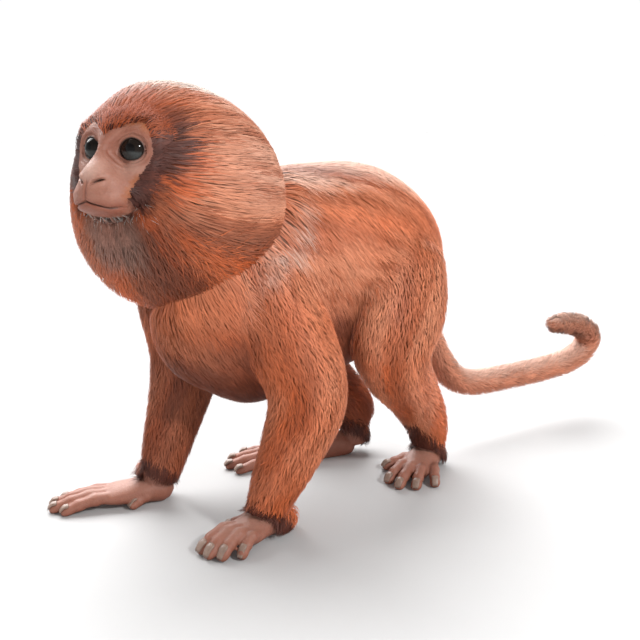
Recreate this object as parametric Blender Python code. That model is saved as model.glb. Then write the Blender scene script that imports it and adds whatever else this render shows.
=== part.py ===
"""A golden lion tamarin (Leontopithecus rosalia) standing on all fours, life size.

The animal faces -Y, its left is +X, up is +Z and the floor is z = 0.  The solids follow the
outside of the coat, out to the tips of the hair.  Trunk, limbs and tail are modelled whole, as
tubes of changing section fused into one smooth body, and are then parted where a person would
name them, by gaps of GAP.  Head, mane, eyes, hands and feet are made apart and meet the body
across the same gap.  Lengths in the tables below are millimetres; MM turns them into metres.
"""

from math import cos, exp, pi, radians, sin, sqrt

import bmesh
import bpy
from mathutils import Matrix, Vector

MM = 0.001
GAP = 0.3  # clear space between two touching pieces

# Fineness of the fused shapes: voxel edge, smoothing passes and triangles kept.
BODY_FINENESS = (2.2, 8, 1640)
MANE_FINENESS = (2.2, 6, 470)
HEAD_FINENESS = (0.8, 2, 860)
SOCKET_FINENESS = (3, 2, 180)
PAW_FINENESS = (0.6, 2, 372)
HOLLOW_SHARE = 0.4  # share of the head's triangles in the mane's hollow
PRESSED = 1.1  # how far the pads of the hands and feet are pressed flat
MANE_CLEARANCE = 1.4  # between the mane and what it goes round

# Tubes of the body.  A station is x, y, z of its centre, half width and half height.
TRUNK = (
    (6, 22, 112, 16, 22),
    (6, 36, 111, 28, 41),
    (5, 55, 113.5, 34, 57.5),
    (3, 85, 118, 38, 60),
    (1, 115, 122.5, 40, 57.5),
    (0, 140, 123.5, 39, 54.5),
    (0, 160, 120, 35, 45),
    (0, 175, 114, 26, 32),
    (0, 185, 108, 15, 17),
)
NECK = (
    (4, 78, 140, 27, 29),
    (1, 56, 152, 24, 27),
    (-2, 30, 166, 20, 23),
    (-2, 22, 170, 18, 21),
)
ARM_LEFT = (
    (20, 66, 128, 22, 26),
    (30, 72, 104, 20, 25),
    (38, 80, 82, 19, 22),
    (43, 80, 64, 17.5, 20),
    (43.7, 70, 42, 13.6, 16),
    (42, 60.5, 22, 10.8, 11.6),
    (41.5, 56, 9, 9.4, 9.8),
)
ARM_RIGHT = (
    (-21, 47, 124, 21.5, 29),
    (-26, 49, 104, 19.5, 27),
    (-28, 48.5, 80, 15.8, 21),
    (-27.6, 44.5, 60, 14, 17.6),
    (-25.6, 37, 40, 12, 14.2),
    (-24, 30.5, 22, 10.4, 11.2),
    (-24.5, 27, 8, 9.5, 9.6),
)
LEG_LEFT = (
    (18, 156, 130, 22, 28),
    (30, 146, 108, 22, 31),
    (38, 137, 90, 20, 27),
    (36, 141, 72, 17, 20),
    (27, 159, 52, 13.5, 15.5),
    (18, 177, 30, 11.3, 12.6),
    (18.8, 180.5, 14, 9.3, 10),
)
LEG_RIGHT = (
    (-18, 150, 128, 22, 28),
    (-30, 128, 104, 21, 30),
    (-37, 110, 84, 18, 25),
    (-36, 118, 66, 16, 20),
    (-32, 139, 48, 14, 16.5),
    (-26, 154, 31, 11.3, 13.6),
    (-24, 157.5, 19, 9.5, 11.5),
)
TAIL = (
    (0, 170, 104, 12.5, 12.5),
    (0, 187, 81, 10.8, 10.8),
    (0, 200.5, 58.5, 9.4, 9.4),
    (0, 214.5, 43, 8.8, 8.8),
    (0, 234, 36.8, 8.5, 8.5),
    (0, 262, 36, 8.4, 8.4),
    (0, 290, 35.7, 8.4, 8.4),
    (0, 316, 37.5, 8.5, 8.5),
    (1, 330.5, 44, 8.5, 8.5),
    (4, 331, 54.5, 8.3, 8.3),
    (7, 318, 63.5, 8, 8),
    (9, 301, 67.8, 7.4, 7.4),
    (11, 286, 69.5, 6, 6),
)
# How far a socket for a limb stands outside the limb, where the sockets of the two sides
# stop short of the middle of the body, and the planes that part the limbs: a point, and
# the direction in which the limb runs there.
SOCKET_MARGIN, SOCKET_INNER = 4.5, 9
LIMBS = {
    "arm_left": (ARM_LEFT, ("upper_arm_left", "forearm_left"), (41, 82, 70), (0.1, -0.1, -1)),
    "arm_right": (ARM_RIGHT, ("upper_arm_right", "forearm_right"), (-28, 46, 68), (0, -0.35, -1)),
    "leg_left": (LEG_LEFT, ("thigh_left", "shin_left"), (37, 139, 80), (-0.2, 0.25, -1)),
    "leg_right": (LEG_RIGHT, ("thigh_right", "shin_right"), (-37, 106, 73), (0, 0.1, -1)),
}
TAIL_ROOT = (0, 191, 86)
TAIL_CUTS = (
    ((0, 225, 43), (0, 1, -0.6)),
    ((0, 276, 36.2), (0, 1, 0)),
    ((4, 331, 54.5), (0, 0, 1)),
)
LOIN_PLANE = ((0, 108, 120), (0, 1, 0))  # parts the trunk in two

# Hands and feet: where each stands, how far it is turned out, and how far forward on it the
# limb comes down.  In their own frame a runs towards the thumb, b forward, z up.
HANDS = {
    "left": {"at": (40, 62), "turned": 16, "side": 1, "limb": 6},
    "right": {"at": (-26, 25.5), "turned": 19, "side": -1, "limb": 0},
}
FEET = {
    "left": {"at": (6, 205), "turned": 27, "side": 1, "limb": 28},
    "right": {"at": (-22, 152), "turned": 14, "side": -1, "limb": -2},
}
# Where the fur ends: a, b, z from where the limb comes down, and the way towards the digits.
WRIST_PLANE = ((0, 3, 13.5), (0, 0.62, -0.785))
ANKLE_PLANE = ((0, 4, 14.5), (0, 0.66, -0.75))
# Palm and sole: a, b, z of the centre, half width, half height.
PALM = (
    (0, -9, 6.5, 5.5, 4.5),
    (0, -5, 7.5, 8, 7),
    (0.5, 4, 8, 9, 7),
    (1, 13, 7.5, 10, 5.8),
    (0.5, 21, 7, 10.8, 4.8),
    (0, 26, 6.5, 9.5, 3.6),
)
WRIST = ((0, -1, 6, 7.5, 7.5), (0, -0.5, 13, 7.2, 7.2), (0, 0, 22, 7, 7))
SOLE = (
    (0, -1, 5.5, 4.5, 4),
    (0, 3, 6.5, 6.8, 6.5),
    (0, 12, 8.5, 7.5, 8.8),
    (0.5, 24, 8, 8.3, 8),
    (1, 36, 6.8, 9.6, 6.4),
    (0.5, 46, 5.8, 10.4, 5),
    (0, 52, 5.2, 9, 3.8),
)
ANKLE = ((0, 0, 8, 7, 8), (0, 0, 15, 6.8, 7.4), (0, -1, 23, 6.4, 7))
# Digits: a, b, z at the root, a, b at the tip, arch of the knuckle, thickness.
FINGERS_LEFT = (
    (6, 18, 7.5, 8.8, 42.5, 4.2, 3.35),
    (2, 19, 7.8, 2.2, 43.5, 4.6, 3.45),
    (-2.4, 19, 7.6, -4, 40.5, 4.4, 3.35),
    (-6.5, 17, 7, -9.8, 33, 3.6, 3.0),
    (5.5, 3, 7, 17, 18.5, 1.5, 3.3),
)
FINGERS_RIGHT = (
    (6, 19, 7.2, 9.2, 48.5, 1.6, 3.25),
    (2, 20, 7.4, 4, 54.5, 1.8, 3.35),
    (-2.4, 20, 7.2, -2.6, 54, 1.8, 3.25),
    (-6.5, 18, 6.8, -8.6, 49, 1.4, 2.9),
    (5, 0, 7, 10.5, 13.5, 0.5, 3.2),
)
TOES = (
    (6.5, 40, 6.2, 9, 66, 2.6, 3.2),
    (1.6, 42, 6.4, 0.2, 70, 3, 3.3),
    (-3.2, 42, 6.2, -8.6, 66, 2.8, 3.2),
    (-7.2, 38, 5.8, -16.5, 57, 2.2, 3),
    (6, 30, 6, 19.5, 48.5, 1.2, 3.4),
)
TOES_STRETCHED = [(*row[:4], row[4] + 8, row[5] / 2, row[6]) for row in TOES]

# Head: its own frame has its origin midway between the eyes, l to the animal's left,
# f forward and u up.
HEAD_AT = (15, -3.5, 189.8)
HEAD_YAW = 31  # degrees to its own left
HEAD_PITCH = 8  # degrees nose up
# The mane is a ball of hair, hollowed by the head.  Its sections stand across the head's own
# axis: f, u of the widest line, half width, height above that line and depth below it.
MANE = (
    (-13, -9, 10, 12, 12),
    (-5, -10.3, 19, 24, 22),
    (-2.5, -14.3, 22.5, 31.2, 23.2),
    (-6, -17.3, 27.5, 39, 27),
    (-12, -21.5, 33.2, 48, 32),
    (-22, -23.7, 41.5, 56.5, 40.5),
    (-34, -24.7, 48.7, 61, 47),
    (-48, -23.5, 54.7, 60.5, 49.5),
    (-62, -21, 55.5, 54.5, 46),
    (-76, -19, 47.5, 44.5, 36.5),
    (-87, -16, 34, 28.5, 25.5),
    (-94, -17, 16, 11, 11),
)
NECK_PLANE = (-40, -12)  # f and u where the head meets the neck
EYE_CENTRE, EYE_RADIUS = (10, -4.7, 0), 6.2
# Lumps of the head: l, f, u of the centre, then the three half sizes.  Those with l over
# zero are there on both sides.  Hollows are the same, and are taken away.
LUMPS = {
    "cranium": (0, -20, -2, 23.5, 23.5, 24),
    "between_eyes": (0, -4, 1, 6.8, 9.2, 10),
    "orbit": (11, -6.4, 0.5, 9, 6.6, 10.5),
    "temple": (15.5, -9.5, 1, 6, 6.5, 9),
    "cheek": (12.6, -6.2, -9.5, 8, 7, 7),
    "lower_cheek": (10.3, -4.8, -15.5, 7.5, 6.6, 7),
    "bridge": (0, 0.4, -5.2, 5.4, 7.8, 8),
    "nose": (0, 4.2, -11.6, 6.2, 9.8, 6.4),
    "nostril_wing": (4.2, 6.4, -14, 4.2, 5.2, 3.9),
    "muzzle": (0, 0, -18.5, 13, 11.6, 8.2),
    "upper_lip": (4.2, 4.8, -21.2, 7.4, 8.1, 4.5),
    "lip_middle": (0, 5.6, -18.2, 5.8, 8.8, 5.6),
    "lower_lip": (0, 2.2, -25.9, 8.3, 9.3, 3),
    "chin": (0, -1.6, -26.2, 8.6, 10, 3.4),
    "jaw": (6.5, -13, -16.5, 9.6, 14.5, 9.6),
}
HOLLOWS = {
    "eye_socket": (12, 7, 0, 7.4, 7.6, 6.4),
    "nostril": (4.4, 13, -15, 2.3, 3.4, 1),
    "mouth": (0, 13.2, -24.9, 12, 3.4, 0.6),
}
BLEND = 1.3  # how softly lumps run into each other
HEAD_CENTRE = (0, -16, -8)
HEAD_GRID = (96, 64)


def clear_scene():
    for obj in list(bpy.data.objects):
        bpy.data.objects.remove(obj, do_unlink=True)


def material(name, colour, roughness):
    made = bpy.data.materials.new(name)
    made.use_nodes = True
    shader = made.node_tree.nodes["Principled BSDF"]
    shader.inputs["Base Color"].default_value = (*colour, 1)
    shader.inputs["Roughness"].default_value = roughness
    shader.inputs["Metallic"].default_value = 0
    return made


def mesh_object(name, bm):
    """A new object in the scene that takes the bmesh, with its faces turned outwards."""
    bmesh.ops.recalc_face_normals(bm, faces=bm.faces)
    mesh = bpy.data.meshes.new(name)
    bm.to_mesh(mesh)
    bm.free()
    obj = bpy.data.objects.new(name, mesh)
    bpy.context.scene.collection.objects.link(obj)
    return obj


def between(stations, steps):
    """The stations with steps - 1 more between each two, on a Catmull-Rom curve."""
    rows = [Vector(row) for row in stations]
    rows = [rows[0] * 2 - rows[1], *rows, rows[-1] * 2 - rows[-2]]
    fine = []
    for a, b, c, d in zip(rows, rows[1:], rows[2:], rows[3:]):
        for step in range(steps):
            t = step / steps
            fine.append(
                0.5 * (2 * b + (c - a) * t + (2 * a - 5 * b + 4 * c - d) * t**2
                       + (3 * b - a - 3 * c + d) * t**3)
            )
    return [*fine, rows[-2]]


def tube(name, stations, sides=20, steps=4, across=(1, 0, 0), axis=None, place=None):
    """A closed tube through the stations.  `across` is the direction of its half width.  A
    station's last number is its half height, below its middle where there are two.  Rings
    stand across the path, or all across `axis`, and `place` moves the tube from its own
    frame into the world."""
    rows = between(stations, steps)
    centres = [Vector(row[:3]) for row in rows]
    bm = bmesh.new()
    rings = []
    for i, row in enumerate(rows):
        along = (centres[min(i + 1, len(rows) - 1)] - centres[max(i - 1, 0)]).normalized()
        along = Vector(axis) if axis else along
        side = Vector(across)
        side = (side - side.dot(along) * along).normalized()
        top = side.cross(along)
        ring = []
        for k in range(sides):
            turn = 2 * pi * k / sides
            high = row[4] if sin(turn) > 0 else row[-1]
            point = centres[i] + side * cos(turn) * row[3] + top * sin(turn) * high
            ring.append(bm.verts.new((place @ point if place else point) * MM))
        rings.append(ring)
    for ring, following in zip(rings, rings[1:]):
        for k in range(sides):
            bm.faces.new((ring[k], ring[k - 1], following[k - 1], following[k]))
    bm.faces.new(rings[0])
    bm.faces.new(rings[-1])
    return mesh_object(name, bm)


def ball(name, centre, radius, segments=12, rings=8):
    bm = bmesh.new()
    bmesh.ops.create_uvsphere(bm, u_segments=segments, v_segments=rings, radius=radius * MM)
    bmesh.ops.translate(bm, verts=bm.verts, vec=Vector(centre) * MM)
    return mesh_object(name, bm)


def applied(obj):
    """Replaces the object's mesh by what its modifiers make of it."""
    graph = bpy.context.evaluated_depsgraph_get()
    mesh = bpy.data.meshes.new_from_object(obj.evaluated_get(graph))
    obj.modifiers.clear()
    obj.data = mesh
    return obj


def fused(name, pieces, fineness):
    """The pieces as one smooth closed surface."""
    voxel, smoothing, triangles = fineness
    bm = bmesh.new()
    for piece in pieces:
        bm.from_mesh(piece.data)
        bpy.data.objects.remove(piece, do_unlink=True)
    whole = mesh_object(name, bm)
    remesh = whole.modifiers.new("remesh", "REMESH")
    remesh.mode = "VOXEL"
    remesh.voxel_size = voxel * MM
    smooth = whole.modifiers.new("smooth", "SMOOTH")
    smooth.factor = 0.5
    smooth.iterations = smoothing
    applied(whole)
    thin = whole.modifiers.new("thin", "DECIMATE")
    thin.ratio = min(1.0, triangles / (2 * len(whole.data.vertices)))
    return applied(whole)


def swollen(obj, by, share=1.0):
    """A copy whose surface stands `by` millimetres outside the object's, made of that share
    of its triangles."""
    copy = copied(obj, obj.name + "_swollen")
    if share < 1:
        thin = copy.modifiers.new("thin", "DECIMATE")
        thin.ratio = share
    grow = copy.modifiers.new("grow", "DISPLACE")
    grow.strength = by * MM
    grow.mid_level = 0
    return applied(copy)


def copied(obj, name):
    copy = bpy.data.objects.new(name, obj.data.copy())
    bpy.context.scene.collection.objects.link(copy)
    return copy


def cut(obj, cutter, operation="DIFFERENCE"):
    """Applies the Boolean and removes the cutter."""
    mod = obj.modifiers.new(operation, "BOOLEAN")
    mod.operation = operation
    mod.solver = "EXACT"
    mod.object = cutter
    applied(obj)
    bpy.data.objects.remove(cutter, do_unlink=True)
    return obj


def trim(obj, point, normal):
    """Cuts away what lies on the normal's side of a plane, and closes the cut flat."""
    bm = bmesh.new()
    bm.from_mesh(obj.data)
    geometry = [*bm.verts, *bm.edges, *bm.faces]
    done = bmesh.ops.bisect_plane(
        bm, geom=geometry, dist=1e-7, plane_co=Vector(point) * MM, plane_no=normal,
        clear_outer=True,
    )
    rim = [e for e in done["geom_cut"] if isinstance(e, bmesh.types.BMEdge)]
    bmesh.ops.holes_fill(bm, edges=rim, sides=0)
    bmesh.ops.recalc_face_normals(bm, faces=bm.faces)
    bm.to_mesh(obj.data)
    bm.free()
    return obj


def islands(bm):
    """The vertices of each loose piece, smallest piece first."""
    left = set(bm.verts)
    groups = []
    while left:
        group, edge = set(), [left.pop()]
        while edge:
            vert = edge.pop()
            group.add(vert)
            for link in vert.link_edges:
                other = link.other_vert(vert)
                if other in left:
                    left.remove(other)
                    edge.append(other)
        groups.append(group)
    return sorted(groups, key=len)


def largest_piece(obj):
    bm = bmesh.new()
    bm.from_mesh(obj.data)
    loose = [vert for group in islands(bm)[:-1] for vert in group]
    bmesh.ops.delete(bm, geom=loose, context="VERTS")
    bm.to_mesh(obj.data)
    bm.free()
    return obj


def split(obj, names, planes):
    """Parts the object across planes that follow each other along it: the first piece is
    what lies behind the first plane, and the object itself ends as the last piece."""
    pieces = []
    for name, (point, normal) in zip(names, planes):
        normal = Vector(normal).normalized()
        piece = trim(copied(obj, name), Vector(point) + normal * GAP / 2 * -1, normal)
        pieces.append(largest_piece(piece))
        largest_piece(trim(obj, Vector(point) + normal * GAP / 2, -normal))
    obj.name = names[-1]
    return [*pieces, obj]


def finish(obj, look):
    obj.data.materials.clear()
    obj.data.materials.append(look)
    obj.data.shade_smooth()
    obj.data.set_sharp_from_angle(angle=radians(50))


def head_frame():
    turn = Matrix.Rotation(radians(HEAD_YAW), 4, "Z")
    tilt = Matrix.Rotation(-radians(HEAD_PITCH), 4, "X")
    return Matrix.Translation(HEAD_AT) @ turn @ tilt


def mane_tube(name):
    rows = [(0, -f, u, wide, high, low) for f, u, wide, high, low in MANE]
    return tube(name, rows, sides=28, axis=(0, 1, 0), place=head_frame())


def nearness(point, lumps):
    """Over 1 inside any of the lumps and under 1 outside them all, with soft joins."""
    total = 0
    for left, front, up, wide, deep, high in lumps:
        for side in (1, -1) if left else (1,):
            reach = sqrt(((point[0] - left * side) / wide) ** 2
                         + ((point[1] - front) / deep) ** 2 + ((point[2] - up) / high) ** 2)
            total += exp(min(50, (1 - reach) * min(wide, deep, high) / BLEND))
    return total


def in_head(point):
    return 1 / nearness(point, LUMPS.values()) + nearness(point, HOLLOWS.values()) < 1


def head_surface(name):
    """The head's skin: the point where each line out from its centre leaves the head."""
    bm = bmesh.new()
    columns, rows = HEAD_GRID
    place = head_frame()
    centre = Vector(HEAD_CENTRE)

    def vertex(turn, rise):
        way = Vector((sin(turn) * cos(rise), cos(turn) * cos(rise), sin(rise)))
        low, high = 0, 60
        for _ in range(18):
            middle = (low + high) / 2
            if in_head(centre + way * middle):
                low = middle
            else:
                high = middle
        left, front, up = centre + way * low
        return bm.verts.new((place @ Vector((left, -front, up))) * MM)

    rings = [
        [vertex(2 * pi * i / columns, pi * (j / rows - 0.5)) for i in range(columns)]
        for j in range(1, rows)
    ]
    for ring, following in zip(rings, rings[1:]):
        for i in range(columns):
            bm.faces.new((ring[i], ring[i - 1], following[i - 1], following[i]))
    bm.faces.new(rings[0])
    bm.faces.new(rings[-1])
    return mesh_object(name, bm)


def head_solid():
    """The head with its sockets and its eyes, cut flat where the neck joins it."""
    head = fused("head", [head_surface("skull")], HEAD_FINENESS)
    eyes = []
    for side, name in ((1, "eye_left"), (-1, "eye_right")):
        left, front, up = EYE_CENTRE
        at = head_frame() @ Vector((side * left, -front, up))
        eyes.append(ball(name, at, EYE_RADIUS))
        cut(head, ball("socket", at, EYE_RADIUS + GAP * 1.6))
    point, backwards = neck_plane()
    trim(head, point - backwards * GAP / 2, backwards)
    return largest_piece(head), eyes


def neck_plane():
    front, up = NECK_PLANE
    place = head_frame()
    return place @ Vector((0, -front, up)), (place.to_3x3() @ Vector((0, 1, 0))).normalized()


def socket(stations, margin=SOCKET_MARGIN):
    """The limb's tube, a little wider: what it shares with the body is the limb."""
    wide = [(*row[:3], row[3] + margin, row[4] + margin) for row in stations]
    return fused("socket", [tube("tube", wide)], SOCKET_FINENESS)


def taken(body, region, name):
    """Takes what is in the region out of the body, as an object of that name."""
    piece = copied(body, name)
    wider = swollen(region, GAP * 1.3)
    cut(piece, region, "INTERSECT")
    cut(body, wider)
    largest_piece(piece)
    largest_piece(body)
    return piece


def paw_frame(at, turned, side, limb):
    """Moves a, b, z of a hand or foot into the world, and the same from where its limb is."""
    turn = radians(turned)
    forward = Vector((side * sin(turn), -cos(turn), 0))
    inward = Vector((-side * cos(turn), -sin(turn), 0))
    columns = Matrix((inward, forward, Vector((0, 0, 1)))).transposed().to_4x4()
    place = Matrix.Translation((*at, 0)) @ columns
    return place, place @ Matrix.Translation((0, limb, 0))


def digit(row, place):
    """A finger or toe: up over its knuckle, down to a pad that rests on the floor."""
    root_a, root_b, root_z, tip_a, tip_b, arch, thick = row
    stations = []
    for share, size in ((0, 1.05), (0.3, 1), (0.52, 1.06), (0.72, 0.92), (0.88, 0.95), (1, 0.6)):
        z = root_z + (thick * 0.72 - root_z) * share**1.6 + arch * sin(pi * share) * 0.8
        a = root_a + (tip_a - root_a) * share
        b = root_b + (tip_b - root_b) * share
        stations.append((a, b, z, thick * size, thick * size * 0.94))
    return tube("digit", stations, sides=12, steps=3, place=place)


def paw(name, where, trunk, stem, digits, plane):
    """A hand or foot, cut flat under its pads and where the fur of the limb begins."""
    place, limb_place = paw_frame(**where)
    pieces = [tube("palm", trunk, place=place), tube("stem", stem, place=limb_place)]
    pieces += [digit(row, place) for row in digits]
    made = fused(name, pieces, PAW_FINENESS)
    made.data.transform(Matrix.Translation((0, 0, -PRESSED * MM)))
    point, normal = limb_plane(limb_place, plane)
    trim(made, point + normal * GAP / 2, -normal)
    trim(made, (0, 0, 0), (0, 0, -1))
    return largest_piece(made)


def limb_plane(place, plane):
    point, normal = plane
    return place @ Vector(point), (place.to_3x3() @ Vector(normal)).normalized()


def stand_on_centre(nodes):
    """Moves all nodes so that the middle of their box is over the origin."""
    corners = [v.co for node in nodes for v in node.data.vertices]
    low = [min(c[i] for c in corners) for i in range(2)]
    high = [max(c[i] for c in corners) for i in range(2)]
    shift = Matrix.Translation((-(low[0] + high[0]) / 2, -(low[1] + high[1]) / 2, 0))
    for node in nodes:
        node.data.transform(shift)


def main():
    clear_scene()
    coat = material("coat", (0.55, 0.18, 0.06), 0.8)
    tail_coat = material("tail_coat", (0.72, 0.4, 0.2), 0.8)
    mane_coat = material("mane_coat", (0.48, 0.13, 0.05), 0.8)
    bare_skin = material("bare_skin", (0.6, 0.38, 0.28), 0.6)
    dark_eye = material("dark_eye", (0.02, 0.015, 0.01), 0.1)

    body = fused(
        "body",
        [tube("tube", TRUNK, sides=32), tube("tube", NECK, sides=24), tube("tube", TAIL, sides=16)]
        + [tube("tube", limb[0]) for limb in LIMBS.values()],
        BODY_FINENESS,
    )
    head, eyes = head_solid()
    mane = fused("mane", [mane_tube("mane_tube")], MANE_FINENESS)
    cut(mane, swollen(body, MANE_CLEARANCE))
    cut(mane, swollen(head, MANE_CLEARANCE, HOLLOW_SHARE))
    largest_piece(mane)

    furred = []
    for name, (stations, names, point, along) in LIMBS.items():
        region = socket(stations)
        side = 1 if name.endswith("left") else -1
        trim(region, (side * SOCKET_INNER, 0, 0), (-side, 0, 0))
        limb = taken(body, region, name)
        key = "left" if side > 0 else "right"
        where, plane = (HANDS[key], WRIST_PLANE) if "arm" in name else (FEET[key], ANKLE_PLANE)
        point_end, normal = limb_plane(paw_frame(**where)[1], plane)
        trim(limb, point_end - normal * GAP / 2, normal)
        furred += split(largest_piece(limb), names, [(point, along)])

    region = socket(TAIL, 3.5)
    trim(region, TAIL_ROOT, (0, -0.6, 1))
    tail = taken(body, region, "tail")
    tails = split(tail, [f"tail_{i + 1}" for i in range(len(TAIL_CUTS) + 1)], TAIL_CUTS)

    neck = taken(body, socket(NECK, 2), "neck")
    point, backwards = neck_plane()
    trim(neck, point + backwards * GAP / 2, -backwards)
    largest_piece(neck)
    trunk = split(body, ("trunk_front", "trunk_rear"), [LOIN_PLANE])

    paws = []
    for side in ("left", "right"):
        fingers = FINGERS_LEFT if side == "left" else FINGERS_RIGHT
        toes = TOES if side == "left" else TOES_STRETCHED
        paws.append(paw(f"hand_{side}", HANDS[side], PALM, WRIST, fingers, WRIST_PLANE))
        paws.append(paw(f"foot_{side}", FEET[side], SOLE, ANKLE, toes, ANKLE_PLANE))

    for nodes, look in (
        ([*trunk, neck, *furred], coat),
        (tails, tail_coat),
        ([mane], mane_coat),
        ([head, *paws], bare_skin),
        (eyes, dark_eye),
    ):
        for node in nodes:
            finish(node, look)
    stand_on_centre([obj for obj in bpy.data.objects if obj.type == "MESH"])


main()
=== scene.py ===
"""A life-size golden lion tamarin, standing still on all fours with its head turned."""

from math import cos, pi, radians, sin
from types import SimpleNamespace

import bmesh
import bpy
import numpy as np
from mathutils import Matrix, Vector
from mathutils.bvhtree import BVHTree


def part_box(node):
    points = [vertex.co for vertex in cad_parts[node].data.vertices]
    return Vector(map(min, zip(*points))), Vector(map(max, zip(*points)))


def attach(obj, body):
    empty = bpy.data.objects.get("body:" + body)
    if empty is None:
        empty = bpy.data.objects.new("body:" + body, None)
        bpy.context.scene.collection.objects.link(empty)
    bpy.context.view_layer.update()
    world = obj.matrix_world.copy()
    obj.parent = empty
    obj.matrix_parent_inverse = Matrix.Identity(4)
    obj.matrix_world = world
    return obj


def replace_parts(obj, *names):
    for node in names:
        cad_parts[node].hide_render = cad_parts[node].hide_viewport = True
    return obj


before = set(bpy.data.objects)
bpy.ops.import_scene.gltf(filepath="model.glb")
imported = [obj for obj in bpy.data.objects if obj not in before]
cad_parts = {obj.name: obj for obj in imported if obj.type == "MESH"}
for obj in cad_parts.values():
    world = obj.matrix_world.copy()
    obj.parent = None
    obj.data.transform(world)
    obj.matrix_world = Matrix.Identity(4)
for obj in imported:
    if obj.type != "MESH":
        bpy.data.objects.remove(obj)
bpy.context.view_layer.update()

# ---- The head -----------------------------------------------------------------------------
# A firm cast of the skull and the bare face, which is flat round the eyes and has a broad
# muzzle that stands well forward.  It is made in one with the skin of the body.
MM = 0.001
# The head is drawn in a frame of its own, in millimetres: l to the animal's left, f forward
# and u up, from the point midway between the eyes.
HEAD_TURN = radians(31)
HEAD_LIFT = radians(8)
EYE_RADIUS = 6.2
EYE_PLACE = np.array((10.0, -4.7, 0.0))
HEAD_LEFT = np.array((cos(HEAD_TURN), sin(HEAD_TURN), 0.0))
HEAD_FRONT = np.array((sin(HEAD_TURN) * cos(HEAD_LIFT), -cos(HEAD_TURN) * cos(HEAD_LIFT), sin(HEAD_LIFT)))
HEAD_UP = np.cross(HEAD_FRONT, HEAD_LEFT)
HEAD_AXES = np.stack((HEAD_LEFT, HEAD_FRONT, HEAD_UP))


def middle_of(node):
    low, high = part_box(node)
    return np.array((low + high) / 2)


HEAD_AT = middle_of("eye_left") - (EYE_PLACE @ HEAD_AXES) * MM


def head_to_world(points):
    return HEAD_AT + (np.asarray(points, float) @ HEAD_AXES) * MM


def world_to_head(points):
    return ((np.asarray(points, float) - HEAD_AT) @ HEAD_AXES.T) / MM


def smoothstep(low, high, value):
    share = np.clip((value - low) / (high - low), 0, 1)
    return share * share * (3 - 2 * share)


def bell(value, width):
    return np.exp(-((value / width) ** 2))


# Lumps of the head: l, f, u of the centre, then the three half sizes; those with l over zero
# are there on both sides.
HEAD_LUMPS = {
    "cranium": (0, -20, -2, 23.5, 23.5, 24),
    "between_eyes": (0, -4, 1, 6.8, 9.2, 10),
    "orbit": (11, -6.4, 0.5, 9, 6.6, 10.5),
    "temple": (15.5, -9.5, 1, 6, 6.5, 9),
    "cheek": (12.6, -6.2, -9.5, 8, 7, 7),
    "lower_cheek": (10.3, -4.8, -15.5, 7.5, 6.6, 7),
    "bridge": (0, 0.4, -5.2, 5.4, 7.8, 8),
    "nose": (0, 4.2, -11.6, 6.2, 9.8, 6.4),
    "nostril_wing": (4.2, 6.4, -14, 4.2, 5.2, 3.9),
    "muzzle": (0, 0, -18.5, 13, 11.6, 8.2),
    "upper_lip": (4.2, 4.8, -21.2, 7.4, 8.1, 4.5),
    "lip_middle": (0, 5.6, -18.2, 5.8, 8.8, 5.6),
    "lower_lip": (0, 2.2, -25.9, 8.3, 9.3, 3),
    "chin": (0, -1.6, -26.2, 8.6, 10, 3.4),
    "jaw": (6.5, -13, -16.5, 9.6, 14.5, 9.6),
}
LUMP_BLEND = 1.3
HEAD_MIDDLE = np.array((0.0, -16.0, -8.0))
FACE_POLE = radians(-10)  # the grid's pole looks out through the upper lip
HEAD_SPOKES = 300
FACE_RINGS, BACK_RINGS = 170, 36
FACE_ANGLE = radians(82)
FARTHEST = 70.0  # no place of the head is farther from its middle
HALVINGS = 20
MOST_POWER = 50  # keeps the sum of the lumps finite


def nearness(points):
    """Over 1 inside the head, under 1 outside, with soft joins between the lumps."""
    total = np.zeros(len(points))
    for left, front, up, wide, deep, high in HEAD_LUMPS.values():
        for side in (1, -1) if left else (1,):
            away = (points - (left * side, front, up)) / (wide, deep, high)
            reach = np.sqrt((away**2).sum(1))
            total += np.exp(np.minimum((1 - reach) * min(wide, deep, high) / LUMP_BLEND, MOST_POWER))
    return total


def head_grid():
    """Points of the head's surface: one row for each ring round the face's pole."""
    angles = np.concatenate([
        np.linspace(0, FACE_ANGLE, FACE_RINGS + 1)[1:],
        np.linspace(FACE_ANGLE, pi, BACK_RINGS + 2)[1:-1],
    ])
    turns = np.arange(HEAD_SPOKES) * 2 * pi / HEAD_SPOKES
    tilt, turn = np.meshgrid(angles, turns, indexing="ij")
    out = np.stack((np.sin(tilt) * np.sin(turn), np.cos(tilt), np.sin(tilt) * np.cos(turn)), -1)
    lower = np.array(((1, 0, 0), (0, cos(FACE_POLE), -sin(FACE_POLE)), (0, sin(FACE_POLE), cos(FACE_POLE))))
    ways = out.reshape(-1, 3) @ lower.T
    low = np.zeros(len(ways))
    high = np.full(len(ways), FARTHEST)
    for _ in range(HALVINGS):
        half = (low + high) / 2
        inside = nearness(HEAD_MIDDLE + ways * half[:, None]) > 1
        low = np.where(inside, half, low)
        high = np.where(inside, high, half)
    return (HEAD_MIDDLE + ways * low[:, None]).reshape(*tilt.shape, 3)


def grid_normals(grid):
    along = np.gradient(grid, axis=0)
    around = np.roll(grid, -1, 1) - np.roll(grid, 1, 1)
    normal = np.cross(around, along)
    normal /= np.linalg.norm(normal, axis=2, keepdims=True) + 1e-12
    return normal * np.sign((normal * (grid - HEAD_MIDDLE)).sum(2, keepdims=True))


def relax(grid, times):
    for _ in range(times):
        sides = np.roll(grid, 1, 1) + np.roll(grid, -1, 1)
        grid[1:-1] = (2 * grid[1:-1] + grid[:-2] + grid[2:] + sides[1:-1]) / 6
    return grid


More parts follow.
